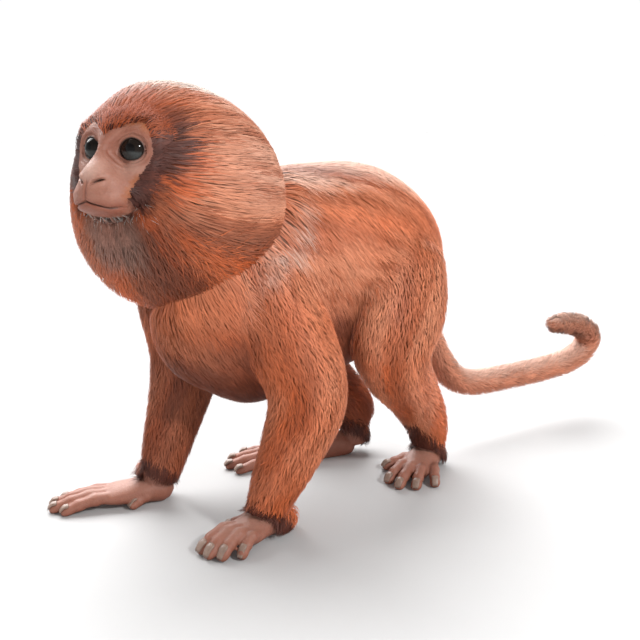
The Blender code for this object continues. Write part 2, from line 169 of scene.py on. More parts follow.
# The lids lie on the eyeball and end in a thin rim; the opening is 10.6 by 9.2 mm.
EYE_SPLAY = radians(14)
OPENING_HALF = (5.3, 4.6)
LID = 0.55
LID_SPREAD = 6.1  # the lid bulges with the eyeball as far out from the axis as this
BEHIND_LID = 0.86  # share of the eyeball's radius at which the skin passes behind it


def eye_coordinates(points, side):
    """How far out from the eye's axis each point is, 1 at the lid's rim, then its place in
    the eye's own frame: outwards, up and along the axis."""
    away = points - EYE_PLACE * (side, 1, 1)
    across = away[..., 0] * side
    outer = across * cos(EYE_SPLAY) - away[..., 1] * sin(EYE_SPLAY)
    axial = across * sin(EYE_SPLAY) + away[..., 1] * cos(EYE_SPLAY)
    up = away[..., 2]
    # the inner corner is drawn out to a point, a little lower than the outer one
    corner = np.clip(-outer / OPENING_HALF[0], 0, 1.6)
    rise = (up / OPENING_HALF[1] + 0.12 * corner) * (1 + 0.12 * corner**3)
    turn = outer / OPENING_HALF[0] * (1 - 0.05 * corner)
    return np.hypot(turn, rise), outer, up, axial


def set_eye(grid, side):
    """Lays the lids on the eyeball, and takes the skin behind it inside the opening."""
    round_eye, outer, up, axial = eye_coordinates(grid, side)
    out = np.hypot(outer, up)
    ball = np.sqrt(np.maximum((EYE_RADIUS + LID) ** 2 - np.minimum(out, LID_SPREAD) ** 2, 0))
    hidden = EYE_RADIUS * BEHIND_LID
    inside = np.sqrt(np.maximum(hidden**2 - np.minimum(out, OPENING_HALF[0]) ** 2, 0))
    lid = inside + (ball - inside) * smoothstep(0.94, 1.02, round_eye)
    inner = smoothstep(1, -4, outer)
    hold = (1 - smoothstep(1.04, 1.75 + 0.22 * inner, round_eye)) * smoothstep(-4, 0, axial)
    shift = (lid - axial) * hold
    axis = np.array((side * sin(EYE_SPLAY), cos(EYE_SPLAY), 0))
    return grid + shift[..., None] * axis


def press(grid, depth):
    """Moves the surface inwards by a depth at each point."""
    return grid - grid_normals(grid) * depth[..., None]


def lid_folds(grid, side):
    round_eye, outer, up, axial = eye_coordinates(grid, side)
    over = smoothstep(0.3, 2.4, up) * (1 - smoothstep(4.5, 8, -outer)) * (1 - smoothstep(5.5, 8, outer))
    under = smoothstep(0.3, 2.6, -up)
    inner = smoothstep(4, -4, outer)
    depth = 0.36 * bell(round_eye - 1.36, 0.08) * over
    depth -= 0.3 * bell(round_eye - 1.56, 0.14) * over
    depth += 0.25 * bell(round_eye - 1.28, 0.06) * under
    depth -= 0.2 * bell(round_eye - 1.44, 0.09) * under
    depth += 0.34 * bell(round_eye - 1.62, 0.08) * under * (0.3 + 0.7 * inner)
    depth += 0.24 * bell(round_eye - 1.98, 0.1) * under * inner
    return depth * smoothstep(-3, 0, axial)


def crease(grid, side, start, end, width, bow=0.0):
    """How near each point is to a line between two places of the face, l and u, from 0 to 1,
    on the animal's left for a side of 1 and on its right for -1."""
    start, end = np.array(start, float) * (side, 1), np.array(end, float) * (side, 1)
    line = end - start
    place = np.stack((grid[..., 0], grid[..., 2]), -1)
    share = np.clip(((place - start) @ line) / (line @ line), 0, 1)
    spot = start + share[..., None] * line
    spot[..., 1] += bow * np.sin(share * pi)
    away = np.linalg.norm(place - spot, axis=-1)
    ends = np.sin(np.clip(share, 0.03, 0.97) * pi) ** 0.4
    return bell(away, width) * ends * smoothstep(-8, -4, grid[..., 1])


def mouth_line(across):
    """Height of the mouth: a small peak in the middle, then down and up again to the corner."""
    far = np.minimum(np.abs(across), 8.5) / 8.5
    return -23.9 + 0.3 * bell(across, 1.3) - 2.1 * far**1.1 + 0.7 * smoothstep(8.5, 12.5, np.abs(across))


# Folds of the face on either side: how deep, from where to where in l and u, width and bow.
NOSTRIL = ((2.2, -16.1), (6.8, -13.8))  # a slit that slants up and outwards
NOSTRIL_BOW = 0.35
FOLDS = (
    (2.8, *NOSTRIL, 0.55, NOSTRIL_BOW),
    (-0.55, (2.2, -14.2), (6.2, -12.2), 1.5, 0),  # the wing of the nose over it
    (0.45, (7.6, -11.4), (7.8, -16.2), 1.0, 0),
    (0.5, (6.2, -3.6), (11.6, -9.8), 0.9, -0.6),  # from the eye's inner corner to the cheek
    (0.3, (7.6, -5.0), (14.0, -8.6), 0.7, -0.7),
    (-0.4, (2.4, -20.4), (9, -21), 2.2, 0),  # the pad of the upper lip
)


def face_details(grid):
    """How deep the folds, nostrils and lips lie in the face at each point."""
    left, front, up = grid[..., 0], grid[..., 1], grid[..., 2]
    depth = np.zeros(left.shape)
    for side in (1, -1):
        depth += lid_folds(grid, side)
        for deep, start, end, width, bow in FOLDS:
            depth += deep * crease(grid, side, start, end, width, bow)
    forward = smoothstep(-4, 1, front)
    between = smoothstep(-13.4, -15.2, up) * smoothstep(-24.4, -23, up)
    depth += 0.55 * bell(left, 0.7) * between * forward
    line = mouth_line(left)
    width = 1 - smoothstep(10.6, 12.8, np.abs(left))
    depth += 1.0 * bell(up - line, 0.4) * width * forward
    depth -= 0.35 * bell(up - line - 1.5, 1.0) * width * forward
    depth -= 0.25 * bell(up - line + 1.6, 1.1) * width * forward
    # soft furrows over the bridge of the nose
    for place in (-1.4, 1.1):
        ridge = bell(up - place - 0.05 * left**2, 0.4)
        depth += 0.12 * ridge * (1 - smoothstep(2.5, 5, np.abs(left))) * forward
    return depth


def new_piece(name, points, faces, look=None):
    """A mesh object from arrays of points and of faces with equal numbers of corners."""
    mesh = bpy.data.meshes.new(name)
    faces = np.asarray(faces, np.int32)
    count, corners = faces.shape
    mesh.vertices.add(len(points))
    mesh.vertices.foreach_set("co", np.asarray(points, np.float32).ravel())
    mesh.loops.add(count * corners)
    mesh.loops.foreach_set("vertex_index", faces.ravel())
    mesh.polygons.add(count)
    mesh.polygons.foreach_set("loop_start", np.arange(count, dtype=np.int32) * corners)
    mesh.update(calc_edges=True)
    mesh.shade_smooth()
    obj = bpy.data.objects.new(name, mesh)
    bpy.context.scene.collection.objects.link(obj)
    if look:
        mesh.materials.append(look)
    return obj


def grid_faces(rings, spokes):
    """Triangles of a closed tube of rings with a single point at each end: the points run
    ring by ring, and the two end points follow them."""
    ring, spoke = np.meshgrid(np.arange(rings - 1), np.arange(spokes), indexing="ij")
    a = ring * spokes + spoke
    b = ring * spokes + (spoke + 1) % spokes
    c, d = a + spokes, b + spokes
    sides = np.concatenate([np.stack(trio, -1).reshape(-1, 3) for trio in ((a, b, c), (b, d, c))])
    k = np.arange(spokes)
    near = np.stack((np.full(spokes, rings * spokes), (k + 1) % spokes, k), -1)
    last = (rings - 1) * spokes
    far = np.stack((np.full(spokes, rings * spokes + 1), last + k, last + (k + 1) % spokes), -1)
    return np.concatenate([sides, near, far])


def turned_out(obj):
    """Turns all faces of a closed mesh outwards."""
    bm = bmesh.new()
    bm.from_mesh(obj.data)
    bmesh.ops.recalc_face_normals(bm, faces=bm.faces)
    bm.to_mesh(obj.data)
    bm.free()
    return obj


HEAD_SMOOTHING, CALM_SMOOTHING = 14, 60


def head_piece():
    grid = relax(head_grid(), HEAD_SMOOTHING)
    for side in (1, -1):
        grid = set_eye(grid, side)
    # the skin between the eyes and over the cheeks lies calm
    rims = np.minimum(*(eye_coordinates(grid, side)[0] for side in (1, -1)))
    calm = smoothstep(1.12, 1.5, rims) * smoothstep(-9, -4, grid[..., 1])
    calm = calm * smoothstep(-13, -9, grid[..., 2])
    grid = grid + (relax(grid.copy(), CALM_SMOOTHING) - grid) * calm[..., None]
    grid = relax(grid, 1)
    grid = press(grid, face_details(grid))
    points = grid.reshape(-1, 3)
    ends = np.stack((grid[0].mean(0), grid[-1].mean(0)))
    faces = grid_faces(len(grid), HEAD_SPOKES)
    return turned_out(new_piece("head_skin", head_to_world(np.concatenate([points, ends])), faces))


head_skin = head_piece()


# ---- The body under its coat --------------------------------------------------------------
# A slim trunk, thin limbs and a long tail, cast as one firm body.  Its skin lies inside the
# coat that it carries by the coat's depth.
EYES_FROM_BODY = np.array((15.0, -3.5, 189.8))  # from a point on the floor under the chest
BODY_AT = HEAD_AT - EYES_FROM_BODY * MM
# Each part is a tube through stations: x, y, z of its centre, then the half width and half
# height of the coat, in millimetres.
TRUNK = (
    (6, 22, 112, 16, 22), (6, 36, 111, 28, 41), (5, 55, 113.5, 34, 57.5), (3, 85, 118, 38, 60),
    (1, 115, 122.5, 40, 57.5), (0, 140, 123.5, 39, 54.5), (0, 160, 120, 35, 45), (0, 175, 114, 26, 32),
    (0, 185, 108, 15, 17),
)
NECK = ((4, 78, 140, 27, 29), (1, 56, 152, 24, 27), (-2, 30, 166, 20, 23), (-2, 22, 170, 18, 21))
ARM_LEFT = (
    (20, 66, 128, 22, 26), (30, 72, 104, 20, 25), (38, 80, 82, 19, 22), (43, 80, 64, 17.5, 20),
    (43.7, 70, 42, 13.6, 16), (42, 60.5, 22, 10.8, 11.6), (41.6, 57, 13, 8.6, 8.8),
)
ARM_RIGHT = (
    (-21, 47, 124, 21.5, 29), (-26, 49, 104, 19.5, 27), (-28, 48.5, 80, 15.8, 21),
    (-27.6, 44.5, 60, 14, 17.6), (-25.6, 37, 40, 12, 14.2), (-24, 30.5, 22, 10.4, 11.2),
    (-24.4, 27.5, 13, 8.6, 8.8),
)
LEG_LEFT = (
    (18, 156, 130, 22, 28), (30, 146, 108, 22, 31), (38, 137, 90, 20, 27), (36, 141, 72, 17, 20),
    (27, 159, 52, 13.5, 15.5), (18, 177, 30, 11.3, 12.6), (18.8, 180.5, 15, 8.8, 9.6),
)
LEG_RIGHT = (
    (-18, 150, 128, 22, 28), (-30, 128, 104, 21, 30), (-37, 110, 84, 18, 25),
    (-36, 118, 66, 16, 20), (-32, 139, 48, 14, 16.5), (-26, 154, 31, 11.3, 13.6),
    (-24, 157.5, 20, 9, 11),
)
TAIL = (
    (0, 170, 104, 12.5, 12.5), (0, 187, 81, 10.8, 10.8), (0, 200.5, 58.5, 9.4, 9.4),
    (0, 214.5, 43, 8.8, 8.8), (0, 234, 36.8, 8.5, 8.5), (0, 262, 36, 8.4, 8.4),
    (0, 290, 35.7, 8.4, 8.4), (0, 316, 37.5, 8.5, 8.5), (1, 330.5, 44, 8.5, 8.5),
    (4, 331, 54.5, 8.3, 8.3), (7, 318, 63.5, 8, 8), (9, 301, 67.8, 7.4, 7.4), (11, 286, 69.5, 6, 6),
)
# Each with the coat's depth at its two ends.
BODY = {
    "trunk": (TRUNK, 3.5, 3.5),
    "neck": (NECK, 3.5, 3.5),
    "arm_left": (ARM_LEFT, 3.2, 1.2),
    "arm_right": (ARM_RIGHT, 3.2, 1.2),
    "leg_left": (LEG_LEFT, 3.2, 1.2),
    "leg_right": (LEG_RIGHT, 3.2, 1.2),
    "tail": (TAIL, 3, 2.2),
}


def placed(points):
    """From the body's millimetres into the frame's metres."""
    return BODY_AT + np.asarray(points, float) * MM


def in_body(points):
    return (np.asarray(points, float) - BODY_AT) / MM


def unit(ways):
    return ways / (np.linalg.norm(ways, axis=-1, keepdims=True) + 1e-12)


def eased(stations, steps):
    """The stations with steps - 1 more between each two, on a smooth curve through them."""
    rows = np.array(stations, float)
    rows = np.concatenate([2 * rows[:1] - rows[1:2], rows, 2 * rows[-1:] - rows[-2:-1]])
    a, b, c, d = (rows[i:len(rows) - 3 + i, None] for i in range(4))
    t = (np.arange(steps) / steps)[None, :, None]
    fine = 2 * b + (c - a) * t + (2 * a - 5 * b + 4 * c - d) * t**2 + (3 * b - a - 3 * c + d) * t**3
    fine = 0.5 * fine
    return np.concatenate([fine.reshape(-1, rows.shape[1]), rows[-2:-1]])


def axes_along(centres):
    """Directions along a tube, to its side and to its top at each of its centres."""
    along = unit(np.gradient(centres, axis=0))
    across = np.array((1.0, 0.0, 0.0))
    side = unit(across - (along @ across)[:, None] * along)
    return along, side, np.cross(side, along)


TUBE_STEPS = 4


def tube(stations, sides=24, depths=(0, 0)):
    """Points and faces of a closed tube through the stations, inside them by a depth that
    changes from its one end to the other."""
    rows = eased(stations, TUBE_STEPS)
    rows[:, 3:5] -= np.linspace(*depths, len(rows))[:, None]
    along, side, top = axes_along(rows[:, :3])
    turn = np.arange(sides) * 2 * pi / sides
    ring = np.cos(turn)[:, None] * side[:, None] * rows[:, 3, None, None]
    ring = ring + np.sin(turn)[:, None] * top[:, None] * rows[:, 4, None, None]
    points = rows[:, None, :3] + ring
    bulge = along * rows[:, 3:4] * 0.3
    ends = np.stack((rows[0, :3] - bulge[0], rows[-1, :3] + bulge[-1]))
    return np.concatenate([points.reshape(-1, 3), ends]), grid_faces(len(rows), sides)


def applied(obj):
    """Replaces the object's mesh by what its modifiers make of it."""
    graph = bpy.context.evaluated_depsgraph_get()
    mesh = bpy.data.meshes.new_from_object(obj.evaluated_get(graph))
    obj.modifiers.clear()
    obj.data = mesh
    return obj


def fused(name, shells, voxel, smoothing):
    """One smooth closed surface round several closed shells, given as points and faces."""
    starts = np.cumsum([0] + [len(points) for points, _ in shells[:-1]])
    points = np.concatenate([points for points, _ in shells])
    faces = np.concatenate([faces + start for (_, faces), start in zip(shells, starts)])
    whole = turned_out(new_piece(name, placed(points), faces))
    remesh = whole.modifiers.new("remesh", "REMESH")
    remesh.mode = "VOXEL"
    remesh.voxel_size = voxel * MM
    smooth = whole.modifiers.new("smooth", "SMOOTH")
    smooth.factor = 0.5
    smooth.iterations = smoothing
    return applied(whole)


# The mane is a ball of long hair: sections across the head's own axis, f and u of the widest
# line, half width, height above that line and depth below it.  The first three lie round the
# bare face.
MANE = (
    (-13, -9, 10, 12, 12), (-5, -10.3, 19, 24, 22), (-2.5, -14.3, 22.5, 31.2, 23.2),
    (-6, -17.3, 27.5, 39, 27), (-12, -21.5, 33.2, 48, 32), (-22, -23.7, 41.5, 56.5, 40.5),
    (-34, -24.7, 48.7, 61, 47), (-48, -23.5, 54.7, 60.5, 49.5), (-62, -21, 55.5, 54.5, 46),
    (-76, -19, 47.5, 44.5, 36.5), (-87, -16, 34, 28.5, 25.5), (-94, -17, 16, 11, 11),
)
MANE_STEPS = 24
mane_rows = eased(MANE, MANE_STEPS)


def mane_depth(place):
    """How deep the long hair is at a place along the mane, counted in sections."""
    return np.interp(place, (0, 2, 3, 5, 7, 11), (3.4, 3.2, 3.6, 5, 6, 5))


def mane_point(place, turn, depth):
    """A point of the mane in the head's frame: `place` along it in sections, `turn` round
    it from its left side upwards, and how deep it lies under the tips of the hair."""
    at = np.clip(np.asarray(place, float), 0, len(MANE) - 1) * MANE_STEPS
    front, up, wide, high, low = (np.interp(at, np.arange(len(mane_rows)), mane_rows[:, i]) for i in range(5))
    high = np.where(np.sin(turn) > 0, high, low)
    return np.stack(((wide - depth) * np.cos(turn), front, up + (high - depth) * np.sin(turn)), -1)


def mane_shell():
    sections, sides = 60, 72
    places = np.linspace(0, len(MANE) - 1, sections)
    place, turn = np.meshgrid(places, np.arange(sides) * 2 * pi / sides, indexing="ij")
    grid = mane_point(place, turn, mane_depth(place))
    points = np.concatenate([grid.reshape(-1, 3), grid[0].mean(0)[None], grid[-1].mean(0)[None]])
    return in_body(head_to_world(points)), grid_faces(sections, sides)


BODY_SIDES, BODY_VOXEL, BODY_SMOOTHING = 36, 1.5, 6
body_tubes = [tube(rows, BODY_SIDES, depths) for rows, *depths in BODY.values()]
body_skin = fused("body_skin", [*body_tubes, mane_shell()], BODY_VOXEL, BODY_SMOOTHING)

# the limbs run softly into the trunk
JOIN_HEIGHT, JOIN_SMOOTHING = 62, 22
joins = body_skin.vertex_groups.new(name="joins")
heights = np.array([point.co.z for point in body_skin.data.vertices]) / MM
joins.add(np.flatnonzero(heights > JOIN_HEIGHT).tolist(), 1.0, "REPLACE")
soften = body_skin.modifiers.new("soften", "SMOOTH")
soften.factor = 0.5
soften.iterations = JOIN_SMOOTHING
soften.vertex_group = "joins"
applied(body_skin)


# ---- Hands and feet -----------------------------------------------------------------------
# Bare palms and soles with long, knuckled digits that end in small, dark, rounded nails of
# horn.  They are cast with the limbs, and stand flat on the floor.

# In a paw's own frame a runs towards the thumb, b forward and z up from the floor.  "limb" is
# how far forward on it the limb comes down.
HANDS = {
    "left": {"at": (40, 62), "turned": 16, "side": 1, "limb": 6},
    "right": {"at": (-26, 25.5), "turned": 19, "side": -1, "limb": 0},
}
FEET = {
    "left": {"at": (6, 205), "turned": 27, "side": 1, "limb": 28},
    "right": {"at": (-22, 152), "turned": 14, "side": -1, "limb": -2},
}
# Palm and sole, wrist and ankle: a, b, z, half width, half height.
PALM = (
    (0, -9, 6.5, 5.5, 4.5), (0, -5, 7.5, 8, 7), (0.5, 4, 8, 9, 7), (1, 13, 7.5, 10, 5.8),
    (0.5, 21, 7, 10.8, 4.8), (0, 26, 6.5, 9.5, 3.6),
)
WRIST = ((0, -1, 6, 7.5, 7.5), (0, -0.5, 13, 7.2, 7.2), (0, 0, 22, 6.8, 6.8))
SOLE = (
    (0, -1, 5.5, 4.5, 4), (0, 3, 6.5, 6.8, 6.5), (0, 12, 8.5, 7.5, 8.8), (0.5, 24, 8, 8.3, 8),
    (1, 36, 6.8, 9.6, 6.4), (0.5, 46, 5.8, 10.4, 5), (0, 52, 5.2, 9, 3.8),
)
ANKLE = ((0, 0, 8, 7, 8), (0, 0, 15, 6.8, 7.4), (0, -1, 23, 6.2, 6.8))
# Digits: a, b, z at the root, a, b at the tip, arch of the knuckle, thickness.
FINGERS_LEFT = (
    (6, 18, 7.5, 8.8, 42.5, 4.2, 3.35), (2, 19, 7.8, 2.2, 43.5, 4.6, 3.45),
    (-2.4, 19, 7.6, -4, 40.5, 4.4, 3.35), (-6.5, 17, 7, -9.8, 33, 3.6, 3.0),
    (5.5, 3, 7, 17, 18.5, 1.5, 3.3),
)
FINGERS_RIGHT = (
    (6, 19, 7.2, 9.2, 48.5, 1.6, 3.25), (2, 20, 7.4, 4, 54.5, 1.8, 3.35),
    (-2.4, 20, 7.2, -2.6, 54, 1.8, 3.25), (-6.5, 18, 6.8, -8.6, 49, 1.4, 2.9),
    (5, 0, 7, 10.5, 13.5, 0.5, 3.2),
)
TOES = (
    (6.5, 40, 6.2, 9, 66, 2.6, 3.2), (1.6, 42, 6.4, 0.2, 70, 3, 3.3),
    (-3.2, 42, 6.2, -8.6, 66, 2.8, 3.2), (-7.2, 38, 5.8, -16.5, 57, 2.2, 3),
    (6, 30, 6, 19.5, 48.5, 1.2, 3.4),
)
TOES_STRETCHED = [(*row[:4], row[4] + 8, row[5] / 2, row[6]) for row in TOES]
# Where the fur ends: a, b, z from where the limb comes down, and the way towards the digits.
WRIST_PLANE = ((0, 3, 13.5), (0, 0.62, -0.785))
ANKLE_PLANE = ((0, 4, 14.5), (0, 0.66, -0.75))
PAWS = {
    "hand_left": (HANDS["left"], PALM, WRIST, FINGERS_LEFT, WRIST_PLANE),
    "hand_right": (HANDS["right"], PALM, WRIST, FINGERS_RIGHT, WRIST_PLANE),
    "foot_left": (FEET["left"], SOLE[3:], ANKLE, TOES, ANKLE_PLANE),
    "foot_right": (FEET["right"], SOLE, ANKLE, TOES_STRETCHED, ANKLE_PLANE),
}
PAW_VOXEL, PAW_SMOOTHING = 0.6, 3
PRESSED = 1.1  # how far the pads are pressed flat on the floor
PAD_EDGE = 0.6  # height in which a pad's round side turns into its flat
ABOVE_FLOOR = 0.02
# Along a digit: share of its length, its width, and its height over the floor side.  It is
# thickest over its two knuckles and over the pad of its tip.
DIGIT_SHAPE = (
    (0, 1.08, 1.05), (0.16, 0.98, 0.96), (0.3, 1.0, 1.0), (0.4, 1.12, 1.14), (0.5, 0.98, 0.97),
    (0.6, 0.94, 0.93), (0.69, 1.04, 1.05), (0.78, 0.93, 0.9), (0.88, 1.0, 0.9), (0.96, 0.86, 0.74),
    (1, 0.6, 0.5),
)


def paw_axes(at, turned, side, limb):
    """The paw's directions a, b and z in the body's frame, as rows, its origin, and where
    its limb comes down."""
    turn = radians(turned)
    inward = (-side * cos(turn), -sin(turn), 0)
    forward = (side * sin(turn), -cos(turn), 0)
    return np.array((inward, forward, (0, 0, 1))), np.array((*at, 0.0)), np.array((0.0, limb, 0.0))


def digit_height(row, share):
    """Height of a digit's middle line: up over its knuckle, then down to its pad."""
    root, arch, thick = row[2], row[5], row[6]
    return root + (thick * 0.72 - root) * share**1.6 + arch * np.sin(pi * share) * 0.8


def digit(row):
    """Points and faces of a finger or toe, in the paw's frame."""
    root_a, root_b, _, tip_a, tip_b, _, thick = row
    share, wide, high = np.array(DIGIT_SHAPE).T
    a = root_a + (tip_a - root_a) * share
    b = root_b + (tip_b - root_b) * share
    z = digit_height(row, share)
    return tube(np.stack((a, b, z, thick * wide, thick * high * 0.95), -1), sides=16)


def paw_skin(name, where, trunk, stem, digits):
    axes, origin, limb = paw_axes(**where)
    stem_points, stem_faces = tube(stem)
    shells = [tube(trunk), (stem_points + limb, stem_faces)] + [digit(row) for row in digits]
    shells = [(points @ axes + origin, faces) for points, faces in shells]
    made = fused(name, shells, PAW_VOXEL, PAW_SMOOTHING)
    points = in_body(points_of(made))
    height = points[:, 2] - PRESSED
    # the pads lie flat where they would sink into the floor
    turned = PAD_EDGE * np.exp(np.minimum(height / PAD_EDGE - 1, 0))
    points[:, 2] = np.where(height > PAD_EDGE, height, turned)
    points[:, 2] = np.where(height < 0, ABOVE_FLOOR, points[:, 2])
    set_points(made, placed(points))
    return made


def points_of(obj, what="co"):
    """The mesh's points, or their normals where `what` says so."""
    out = np.empty(len(obj.data.vertices) * 3, np.float32)
    obj.data.vertices.foreach_get(what, out)
    return out.reshape(-1, 3).astype(float)


def set_points(obj, points):
    obj.data.vertices.foreach_set("co", np.asarray(points, np.float32).ravel())
    obj.data.update()


paw_skins = [paw_skin(name + "_skin", *parts[:4]) for name, parts in PAWS.items()]


# ---- The skin -----------------------------------------------------------------------------
# One closed skin from the lips to the tip of the tail: bare and pinkish on the face, hands
# and feet, and coloured as the roots of the coat everywhere else.  Its markings are worked
# out once, for any place on the body, and the coat takes them from the same functions.
def joined_with(obj, other):
    """Joins another closed mesh to the object for good."""
    union = obj.modifiers.new("union", "BOOLEAN")
    union.operation = "UNION"
    union.solver = "MANIFOLD"
    union.object = other
    applied(obj)
    bpy.data.objects.remove(other, do_unlink=True)


skin = body_skin
skin.name = "skin"
for part in (head_skin, *paw_skins):
    joined_with(skin, part)


def bone_table(stations):
    """The middle line of a tube, its directions, and the length along it."""
    rows = eased(stations, 3)
    along, side, top = axes_along(rows[:, :3])
    steps = np.linalg.norm(np.diff(rows[:, :3], axis=0), axis=1)
    return rows, along, side, top, np.concatenate([[0], np.cumsum(steps)])


BONES = {name: bone_table(rows) for name, (rows, *_) in BODY.items()}
BONE_LENGTH = np.array([table[4][-1] for table in BONES.values()])
# On the trunk the coat runs back and down the flanks; on the neck it hangs.  Elsewhere it
# runs along the limb or tail.
LIE = {"trunk": np.array((0, 1, -1.5)), "neck": np.array((0.1, 0.4, -1))}
BATCH = 20000  # points worked on at a time


def on_body(points, normals):
    """Where points of the body are: which bone they lie round, how far along it and at what
    turn round it, and the way in which the coat lies there."""
    count = len(points)
    weights = np.zeros((len(BONES), count))
    run = np.zeros((len(BONES), count))
    turn = np.zeros((len(BONES), count))
    lie = np.zeros((count, 3))
    for index, (name, (rows, along, side, top, length)) in enumerate(BONES.items()):
        for first in range(0, count, BATCH):
            part = slice(first, first + BATCH)
            away = points[part, None] - rows[None, :, :3]
            across, above, ahead = ((away * axis).sum(2) for axis in (side, top, along))
            far = (across / rows[:, 3]) ** 2 + (above / rows[:, 4]) ** 2
            far += (2 * ahead / (rows[:, 3] + rows[:, 4])) ** 2
            nearest = far.argmin(1)
            spot = np.arange(len(nearest)), nearest
            weights[index, part] = 1 / (far[spot] + 0.01) ** 5
            run[index, part] = length[nearest] + ahead[spot]
            turn[index, part] = np.arctan2(above[spot], across[spot])
            way = LIE.get(name, along[nearest])
            lie[part] += way / np.linalg.norm(way, axis=-1, keepdims=True) * weights[index, part, None]
    bone = weights.argmax(0)
    spot = bone, np.arange(count)
    return bone, run[spot], turn[spot], laid(lie, normals)


def laid(ways, normals):
    """The ways turned so that they run along the surface."""
    return unit(ways - (ways * normals).sum(1, keepdims=True) * normals)


def in_mane(points):
    """Where points are on the mane: the place along it, the turn round it, and how far
    out they are, 1 at the tips of its hair."""
    left, front, up = world_to_head(placed(points)).T
    rim = 2 * MANE_STEPS
    at = np.interp(-front, -mane_rows[rim:, 0], np.arange(rim, len(mane_rows)))
    middle, wide, high, low = (np.interp(at, np.arange(len(mane_rows)), mane_rows[:, i]) for i in range(1, 5))
    high = np.where(up > middle, high, low)
    reach = np.hypot(left / wide, (up - middle) / high)
    return at / MANE_STEPS, np.arctan2((up - middle) / high, left / wide), reach


# The bare face ends at a line of dark hair: its distance from a point of the face between
# eyes and mouth, at turns from straight up to straight down, the same on both sides.
FACE_HUB = (0, -9)
FACE_TURNS = (0, 18, 32, 50, 69, 94, 112, 122, 133, 139, 148, 164, 180)
FACE_REACH = (15.2, 20.2, 26.0, 24.8, 22.2, 17.6, 16.6, 17.4, 19.5, 22.0, 22.5, 21.9, 21.6)


def beyond_face(points):
    """How many millimetres outside the bare face each point of the head's frame is."""
    across = np.abs(points[:, 0]) - FACE_HUB[0]
    up = points[:, 2] - FACE_HUB[1]
    turn = np.degrees(np.arctan2(across, up))
    jagged = 0.5 * np.sin(turn * 0.9 + 2 * np.sign(points[:, 0])) * np.sin(turn * 0.37 + 1)
    edge = np.interp(turn, FACE_TURNS, FACE_REACH) + jagged
    behind = np.maximum(-8.5 - points[:, 1], 0)
    return np.hypot(across, up) - edge + behind * 1.5


# How near to the eyes a place on the face can be, and to the middle of a paw one on the paw.
NEAR_HEAD, NEAR_PAW, PAW_TOP = 60, 75, 34
FAR_INSIDE = 40


def fur_edge(points):
    """How many millimetres inside the fur each point of the body is, from the nearest line
    where it ends: round the face, at the wrists and at the ankles."""
    head = world_to_head(placed(points))
    inside = np.where(np.linalg.norm(head, axis=1) < NEAR_HEAD, beyond_face(head), FAR_INSIDE)
    for where, _, _, _, (at, way) in PAWS.values():
        axes, origin, limb = paw_axes(**where)
        local = (points - origin) @ axes.T
        near = (np.hypot(local[:, 0], local[:, 1] - 10) < NEAR_PAW) & (local[:, 2] < PAW_TOP)
        ahead = (local - limb - at) @ (np.array(way) / np.linalg.norm(way))
        ragged = 0.8 * np.sin(local[:, 0] * 1.1 + 0.6 * local[:, 1]) + 0.5 * np.sin(local[:, 0] * 2.7)
        ahead = np.where((local[:, 2] < 3) & (local[:, 1] > limb[1] - 6), np.maximum(ahead, 1), ahead)
        inside = np.where(near, np.minimum(inside, -ahead + ragged), inside)
    return inside


PERIOD = 128


def grain(u, v, seed):
    """Smooth noise from 0 to 1 over a plane, with a period."""
    table = np.random.default_rng(seed).random((PERIOD, PERIOD))
    low_u, low_v = np.floor(u), np.floor(v)
    share_u, share_v = u - low_u, v - low_v
    share_u, share_v = share_u**2 * (3 - 2 * share_u), share_v**2 * (3 - 2 * share_v)
    i, j = low_u.astype(int) % PERIOD, low_v.astype(int) % PERIOD
    k, m = (i + 1) % PERIOD, (j + 1) % PERIOD
    first = table[i, j] * (1 - share_u) + table[k, j] * share_u
    second = table[i, m] * (1 - share_u) + table[k, m] * share_u
    return first * (1 - share_v) + second * share_v


def place_on_coat(points, normals, mane):
    """What the markings depend on at points of the body: where they are, and the streaks that
    run there along the lie of the hair."""
    bone, run, turn, _ = on_body(points, normals)
    place, mane_turn, reach = in_mane(points)
    run = np.where(mane, place * 10, run)
    round_about = np.where(mane, 48, 20.0 + 20 * (bone == 0))
    across = np.where(mane, mane_turn, turn) * round_about + 0.25 * run
    streak = 0.45 * grain(run / 34, across / 3.6, 1) + 0.33 * grain(run / 22, across / 1.7, 2)
    streak += 0.22 * grain(run / 12, across / 0.8, 3)
    head = world_to_head(placed(points))
    rise = np.sin(mane_turn)
    throat = smoothstep(-25, -31, head[:, 2]) * smoothstep(-52, -42, head[:, 2])
    near = np.linalg.norm(head, axis=1) < NEAR_HEAD
    return SimpleNamespace(
        points=points, normals=normals, mane=mane, bone=bone, run=run, across=across,
        place=place, reach=reach, rise=rise, streak=streak, head=head, near=near,
        height=points[:, 2], up=normals[:, 2], tail=bone == 6, beyond=beyond_face(head),
        cloud=grain(run / 30 + 40, across / 14, 4),
        limb=((bone >= 2) & (bone <= 5)) * smoothstep(116, 78, points[:, 2]),
        throat=near * throat * smoothstep(15, 8, np.abs(head[:, 0])),
        brow=mane * smoothstep(0.3, 0.7, rise) * smoothstep(4.4, 3.2, place),
    )


